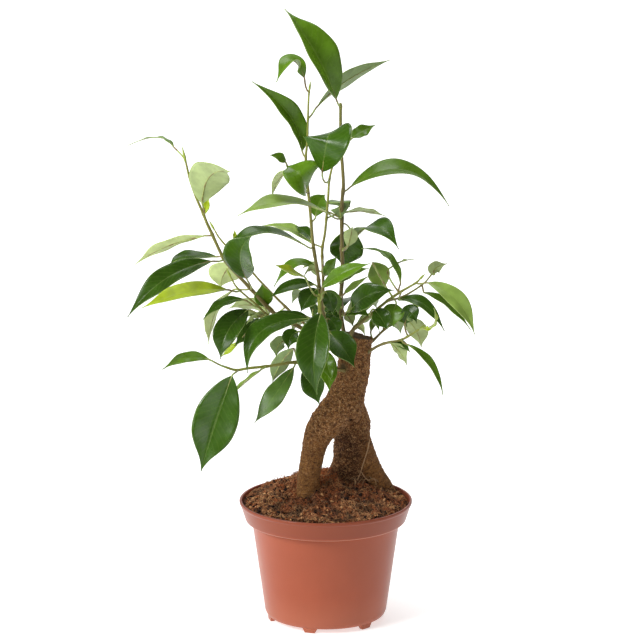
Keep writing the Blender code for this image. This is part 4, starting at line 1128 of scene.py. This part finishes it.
def shoot_mesh(name):
    points = shoot_points(name)
    rings = node_rings(name)
    swollen = []
    for index, point in enumerate(points):
        near = min([(point.xyz - ring).length for ring in rings], default=1)
        swell = 1 + NODE_SWELL * math.exp(-(near / NODE_REACH) ** 2)
        wobble = 1 + 0.05 * noise.noise(point.xyz / MM * 0.4)
        if index == len(points) - 1:
            swell *= 0.7
        swollen.append((*point.xyz, point[3] * swell * wobble))
    mesh = tubes(name, [swollen], sides=12)
    low = points[0].z
    span = max(30 * MM, max(point.z for point in points) - low)
    old = OLD_BARK.get(name, SOME_BARK)
    youth = [held((corner.co.z - low) / span * 1.25 - old) for corner in mesh.vertices]
    if name in FLAT_SHOOTS:
        foot = points[0].xyz
        reach = max((point.xyz - foot).length for point in points)
        youth = [held((corner.co - foot).length / reach * 1.3 - old) for corner in mesh.vertices]
    point_values(mesh, "youth", youth)
    return mesh


def stem_skin(settings):
    """Young bark: brown-green with fine lengthwise streaks and pale pores, greener towards the tip."""
    made, shader, where = finish("stem skin", Roughness=0.5)
    youth = kept_value(shader, "youth")
    streaks = cloudy(stretched(where, (1, 1, 0.12)), 1400, 3)
    tone = mixed(youth, settings.woody, settings.young)
    tone = tinted(tone, *shades(settings.woody, 1.7), streaks, 0.42, 0.66, 0.5)
    pores = node("ShaderNodeTexVoronoi", {"Vector": where, "Scale": 700.0})
    tone = tinted(tone, (0.30, 0.27, 0.12), pores.outputs["Distance"], 0.2, 0.1, 0.4)
    connect(shader, Base_Color=tone, Normal=raised(streaks, 0.12 * MM))
    return made


# ---------------------------------------------------------------- leaves


def half_width(share):
    """Outline of a blade: broad middle, narrow foot, drawn-out tip. 1 at its broadest."""
    spread = math.sin(math.pi * min(1, share ** 0.92))
    return max(0, spread) ** (0.8 + 0.7 * held((share - 0.55) / 0.3))


class LeafShape:
    """The midrib of a leaf on the plant, and its stalk."""

    def __init__(self, name, leaf):
        self.leaf = leaf
        self.face = Vector(leaf.face)
        self.face_tip = Vector(TWISTS.get(name, leaf.face))
        self.foot, back, self.tip = (crown(point) for point in (leaf.foot, leaf.back, leaf.tip))
        self.hand = 2 * back - (self.foot + self.tip) / 2

    def row(self, t):
        """Centre, side direction, normal and direction of the blade at a share of its length."""
        centre = self.foot * (1 - t) ** 2 + self.hand * 2 * t * (1 - t) + self.tip * t ** 2
        tangent = ((self.hand - self.foot) * (1 - t) + (self.tip - self.hand) * t).normalized()
        facing = self.face.lerp(self.face_tip, t)
        normal = (facing - tangent * facing.dot(tangent)).normalized()
        return centre, tangent.cross(normal), normal, tangent

    def stalk(self):
        root, out = leaving(self.leaf.shoot, self.leaf.node, self.foot, STALK_SUNK)
        reach = (self.foot - root).length / 3
        onward = (self.hand - self.foot).normalized()
        knee = self.foot - onward * reach / 2
        return interpolate_bezier(root, root + out * reach, knee, self.foot, STALK_ROWS)


def blade_mesh(name, shape, settings):
    """A grid bent along the midrib, folded, waved at its edges, then thickened downwards."""
    leaf = shape.leaf
    rng = random.Random(name)
    waves, phase = rng.uniform(1.6, 3.2), rng.uniform(0, math.tau)
    lean = rng.uniform(-0.12, 0.12)
    fold = math.radians(leaf.fold)
    work = bmesh.new()
    bmesh.ops.create_grid(work, x_segments=BLADE_ROWS, y_segments=BLADE_COLUMNS, size=1)
    skin = work.loops.layers.uv.new("blade")
    for face in work.faces:
        for loop in face.loops:
            loop[skin].uv = ((loop.vert.co.y + 1) / 2, (loop.vert.co.x + 1) / 2)
    for corner in work.verts:
        t, across = (corner.co.x + 1) / 2, corner.co.y
        centre, side, normal, _ = shape.row(t)
        width = half_width(t) * leaf.width / 2 * MM
        width = max(width, FOOT_HALF_WIDTH if t < 0.5 else TIP_HALF_WIDTH)
        out = abs(across)
        gutter = math.sin(fold) * (1.12 * out ** 1.15 - 0.12 * out ** 3)
        droop = lean * across * out * 0.5
        wave = math.sin(math.tau * waves * t + phase + (2.2 if across > 0 else 0))
        rise = width * (gutter + droop)
        rise += settings.wave * wave * out ** 2 * math.sin(math.pi * t)
        corner.co = centre - side * across * width * math.cos(fold) + normal * rise
    mesh = mesh_of(work, name)
    for _ in range(2):
        mesh.materials.append(None)
    blade = working_object(name, mesh)
    shell = blade.modifiers.new("thickness", "SOLIDIFY")
    shell.thickness = settings.thickness
    shell.offset = -1
    shell.material_offset = 1
    shell.material_offset_rim = 1
    return applied(blade)


def rib_mesh(name, shape):
    """The stalk, which runs on as the midrib along the underside of the blade."""
    stalk = shape.stalk()
    run = [(*point, STALK_RADIUS * (1.25 if index == 0 else 1)) for index, point in enumerate(stalk[:-1])]
    for index in range(BLADE_ROWS // 2):
        t = index / (BLADE_ROWS // 2)
        centre, _, normal, _ = shape.row(t * 0.93)
        radius = STALK_RADIUS * (1 - 0.8 * t)
        run.append((*(centre - normal * (0.30 * MM * min(1, t * 12) + radius * 0.35)), radius))
    return tubes(f"{name} rib", [run], sides=8)


def leaf_mesh(name, leaf, settings):
    shape = LeafShape(name, leaf)
    work = bmesh.new()
    work.from_mesh(blade_mesh(name, shape, settings))
    count = len(work.faces)
    work.from_mesh(rib_mesh(name, shape))
    work.faces.ensure_lookup_table()
    for face in work.faces[count:]:
        face.material_index = 2
    return mesh_of(work, name)


def blade_pattern(beside):
    """Shares from 0 to 1 for the midrib, the side veins and the edge of a blade."""
    skin = source(beside, "ShaderNodeUVMap", uv_map="blade").outputs[0]
    u, v, _ = node("ShaderNodeSeparateXYZ", {"Vector": skin}).outputs
    out = times(maths("ABSOLUTE", maths("SUBTRACT", u, 0.5)), 2.0)
    midrib = between(out, 0.055, 0.015)
    phase = maths("SUBTRACT", times(v, 88.0), times(out, 16.0))
    veins = between(maths("SINE", phase), 0.55, 1.0)
    edge = between(out, 0.955, 0.99)
    return midrib, veins, edge


def upper_side(name, colour, rib, roughness):
    """The waxy upper side: a light midrib, faint side veins, a thin light edge and cloudy green."""
    made, shader, where = finish(name, Specular_IOR_Level=0.3)
    midrib, veins, edge = blade_pattern(shader)
    shade = kept_value(shader, "shade")
    clouds = cloudy(where, 90, 3)
    mottle = maths("ADD", times(between(clouds, 0.3, 0.7), 0.5), times(shade, 0.5))
    tone = mixed(mottle, *shades(colour, 0.72, 1.45))
    tone = mixed(times(veins, 0.035), tone, rib)
    tone = mixed(times(midrib, 0.14), tone, rib)
    tone = mixed(times(edge, 0.35), tone, rib)
    fine = cloudy(where, 900, 2)
    relief = maths("SUBTRACT", times(fine, 0.2), times(veins, 0.12))
    relief = maths("SUBTRACT", relief, midrib)
    rough = between(clouds, 0.3, 0.7, roughness * 0.85, roughness * 1.2)
    connect(shader, Base_Color=tone, Roughness=rough, Normal=raised(relief, 0.12 * MM, 0.8))
    return made


def underside(name, colour, rib):
    """The matte underside, with a raised light midrib and clearer veins."""
    made, shader, where = finish(name, Roughness=0.5, Specular_IOR_Level=0.3)
    midrib, veins, edge = blade_pattern(shader)
    clouds = cloudy(where, 110, 3)
    tone = mixed(between(clouds, 0.3, 0.7), *shades(colour, 0.85, 1.15))
    dark, pale = shades(colour, 0.72, 1.5)
    tone = mixed(times(veins, 0.1), tone, dark)
    tone = mixed(times(midrib, 0.6), tone, pale)
    tone = mixed(times(edge, 0.5), tone, rib)
    connect(shader, Base_Color=tone, Normal=raised(veins, 0.06 * MM, 0.7))
    return made


def stalk_skin(settings):
    made, shader, where = finish("leaf stalk", Roughness=0.45)
    tone = mixed(between(cloudy(where, 140, 3), 0.35, 0.65), settings.stalk, settings.rib)
    connect(shader, Base_Color=tone)
    return made


def bud_mesh(name, length):
    """A slender pointed bud that carries the shoot's tip on."""
    points = shoot_points(name)
    tip, before = points[-1], points[-3]
    along = (tip.xyz - before.xyz).normalized()
    thick = tip[3]
    run = [(*(tip.xyz + along * length * share), thick * width) for share, width in BUD_OUTLINE]
    return tubes(f"bud {name}", [run], sides=10)


# ---------------------------------------------------------------- operators


class FICUS_OT_pot(bpy.types.Operator):
    """Model the plastic nursery pot"""

    bl_idname = "ficus.pot"
    bl_label = "Nursery pot"

    def execute(self, context):
        settings = context.scene.ficus_pot
        pot = working_object("pot", pot_shell(settings))
        tools = [boolean(pot, pot_feet(), "UNION"), boolean(pot, drain_holes(), "DIFFERENCE")]
        mesh = applied(pot)
        for tool in tools:
            bpy.data.objects.remove(tool)
        mesh.materials.clear()
        mesh.materials.append(pot_plastic(tuple(settings.plastic)))
        piece = place_piece("nursery_pot", mesh, ["pot"], smooth=False)
        mesh.shade_smooth()
        mesh.set_sharp_from_angle(angle=math.radians(SHARP_ANGLE))
        self.report({"INFO"}, piece.name)
        return {"FINISHED"}


class FICUS_OT_soil(bpy.types.Operator):
    """Model the potting mix with its crumbs and fibres"""

    bl_idname = "ficus.soil"
    bl_label = "Potting mix"

    def execute(self, context):
        settings = context.scene.ficus_soil
        pot = context.scene.ficus_pot
        radius = wall_radius(SOIL_EDGE_HEIGHT, pot.rim_radius, pot.height) - pot.wall - SOIL_GAP
        bed = soil_bed(radius)
        bed.materials.append(potting_mix(settings))
        place_piece("potting_mix", bed, ["soil"])
        crumbs = soil_crumbs(settings.crumbs, radius)
        crumbs.materials.append(crumb_finish(settings))
        place_piece("soil_crumbs", crumbs, smooth=False)
        fibres = tubes("coir fibres", fibre_runs(settings.fibres, radius), sides=4)
        fibres.materials.append(fibre_finish(settings))
        place_piece("coir_fibres", fibres)
        return {"FINISHED"}


class FICUS_OT_trunk(bpy.types.Operator):
    """Model the forked trunk with its bark and its sawn top"""

    bl_idname = "ficus.trunk"
    bl_label = "Trunk"

    def execute(self, context):
        settings = context.scene.ficus_trunk
        work = trunk_body()
        work.verts.index_update()
        kept = weather(work, settings.relief)
        mesh = mesh_of(work, "trunk")
        for name, values in kept.items():
            point_values(mesh, name, values)
        mesh.materials.append(bark(settings))
        mesh.materials.append(cut_wood(tuple(settings.wood)))
        place_piece("ficus_trunk", mesh, ["trunk"])
        strands = tubes("root strands", root_strands(), sides=6)
        strands.materials.append(finish("dry root", Base_Color=(0.33, 0.19, 0.09, 1), Roughness=0.75)[0])
        place_piece("root_strands", strands)
        return {"FINISHED"}


class FICUS_OT_shoots(bpy.types.Operator):
    """Model the green shoots and their buds"""

    bl_idname = "ficus.shoots"
    bl_label = "Shoots"

    def execute(self, context):
        settings = context.scene.ficus_shoots
        skin = stem_skin(settings)
        bud, shader, where = finish("bud")
        connect(shader, Base_Color=mixed(cloudy(where, 300), *shades(settings.bud, 0.75, 1)))
        for name in SHOOTS:
            mesh = shoot_mesh(name)
            mesh.materials.append(skin)
            place_piece(f"ficus_stem_{name}", mesh, [f"shoot_{name}"])
        for name, length in BUDS.items():
            mesh = bud_mesh(name, length * MM)
            mesh.materials.append(bud)
            place_piece(f"ficus_bud_{name}", mesh)
        return {"FINISHED"}


class FICUS_OT_leaves(bpy.types.Operator):
    """Model the leaves"""

    bl_idname = "ficus.leaves"
    bl_label = "Leaves"

    def execute(self, context):
        settings = context.scene.ficus_leaves
        rib = tuple(settings.rib)
        uppers = {tone: upper_side(f"leaf {tone}", tuple(getattr(settings, tone)), rib, rough)
                  for tone, rough in LEAF_ROUGHNESS.items()}
        old = underside("leaf underside", tuple(settings.under), rib)
        pale = underside("pale leaf underside", tuple(settings.under_pale), rib)
        # The young underside is partly painted light, the glow of backlit leaves.
        young = underside("young leaf underside", tuple(settings.under_young_glow), rib)
        unders = {"dark": old, "mid": old, "light": young, "lime": young, "pale": pale}
        stalk = stalk_skin(settings)
        rng = random.Random(LEAF_SEED)
        for name, leaf in ALL_LEAVES.items():
            mesh = leaf_mesh(name, leaf, settings)
            for skin in (uppers[leaf.tone], unders[leaf.tone], stalk):
                mesh.materials.append(skin)
            point_values(mesh, "shade", [rng.random()] * len(mesh.vertices))
            stands_for = [f"leaf_{name}"] if name in LEAVES else []
            place_piece(f"ficus_leaf_{name}", mesh, stands_for)
        return {"FINISHED"}


class FICUS_OT_stage(bpy.types.Operator):
    """Set up the pale floor, the soft lights and the camera"""

    bl_idname = "ficus.stage"
    bl_label = "Stage"

    def execute(self, context):
        settings = context.scene.ficus_stage
        scene = context.scene
        work = bmesh.new()
        bmesh.ops.create_circle(work, cap_ends=True, segments=96, radius=FLOOR_RADIUS)
        mesh = mesh_of(work, "floor")
        pale, shader, where = finish("pale floor", Base_Color=(*settings.floor, 1),
                                     Emission_Color=(1, 1, 1, 1), Roughness=0.8)
        away = length_of(where)
        behind = node("ShaderNodeSeparateXYZ", {"Vector": where}).outputs["Y"]
        # Painted light: the floor glows, not in front of the plant and more with distance, so that it shows
        # white and the plant's shadow beside the pot is filled.
        lit = maths("MAXIMUM", between(behind, -0.22, -0.08), between(away, 0.7, 1.5))
        glow = times(between(away, 0.2, 1.4, 0.6, 1.0), lit)
        connect(shader, Emission_Strength=glow)
        mesh.materials.append(pale)
        floor = working_object("floor", mesh)

        world = bpy.data.worlds.new("studio")
        scene.world = world
        world.use_nodes = True
        background = world.node_tree.nodes["Background"]
        background.inputs["Color"].default_value = (1, 1, 1, 1)
        background.inputs["Strength"].default_value = WORLD_STRENGTH
        for name, (place, size, power) in LIGHTS.items():
            light = bpy.data.lights.new(name, "AREA")
            light.shape = "DISK"
            light.size = size
            light.energy = power * settings.light
            aimed(name, light, Vector(place), LIGHTS_AIM)

        camera = bpy.data.cameras.new("camera")
        camera.lens = CAMERA_LENS
        camera.sensor_width = CAMERA_SENSOR
        scene.camera = aimed("camera", camera, CAMERA_PLACE, CAMERA_AIM)
        scene.view_settings.view_transform = "Standard"
        return {"FINISHED"}


class FICUS_PT_panel(bpy.types.Panel):
    """The pieces of the plant"""

    bl_idname = "FICUS_PT_panel"
    bl_label = "Ginseng ficus"
    bl_space_type = "VIEW_3D"
    bl_region_type = "UI"
    bl_category = "Ficus"

    def draw(self, context):
        for group, operator in GROUPS:
            box = self.layout.box()
            settings = getattr(context.scene, group)
            for name in settings.__annotations__:
                box.prop(settings, name)
            box.operator(operator.bl_idname)


SETTINGS = {
    "ficus_pot": PotSettings, "ficus_soil": SoilSettings, "ficus_trunk": TrunkSettings,
    "ficus_shoots": ShootSettings, "ficus_leaves": LeafSettings, "ficus_stage": StageSettings,
}
OPERATORS = [FICUS_OT_pot, FICUS_OT_soil, FICUS_OT_trunk, FICUS_OT_shoots, FICUS_OT_leaves, FICUS_OT_stage]
GROUPS = list(zip(SETTINGS, OPERATORS))


def register():
    for kind in (*SETTINGS.values(), *OPERATORS, FICUS_PT_panel):
        bpy.utils.register_class(kind)
    for name, kind in SETTINGS.items():
        setattr(bpy.types.Scene, name, PointerProperty(type=kind))


def unregister():
    for name in SETTINGS:
        delattr(bpy.types.Scene, name)
    for kind in (FICUS_PT_panel, *reversed(OPERATORS), *reversed(list(SETTINGS.values()))):
        bpy.utils.unregister_class(kind)


def main():
    register()
    for thing in list(bpy.context.scene.objects):
        if thing.name in ("Cube", "Light", "Camera"):
            bpy.data.objects.remove(thing)
    for operator in OPERATORS:
        group, name = operator.bl_idname.split(".")
        getattr(getattr(bpy.ops, group), name)()


if __name__ == "__main__":
    main()
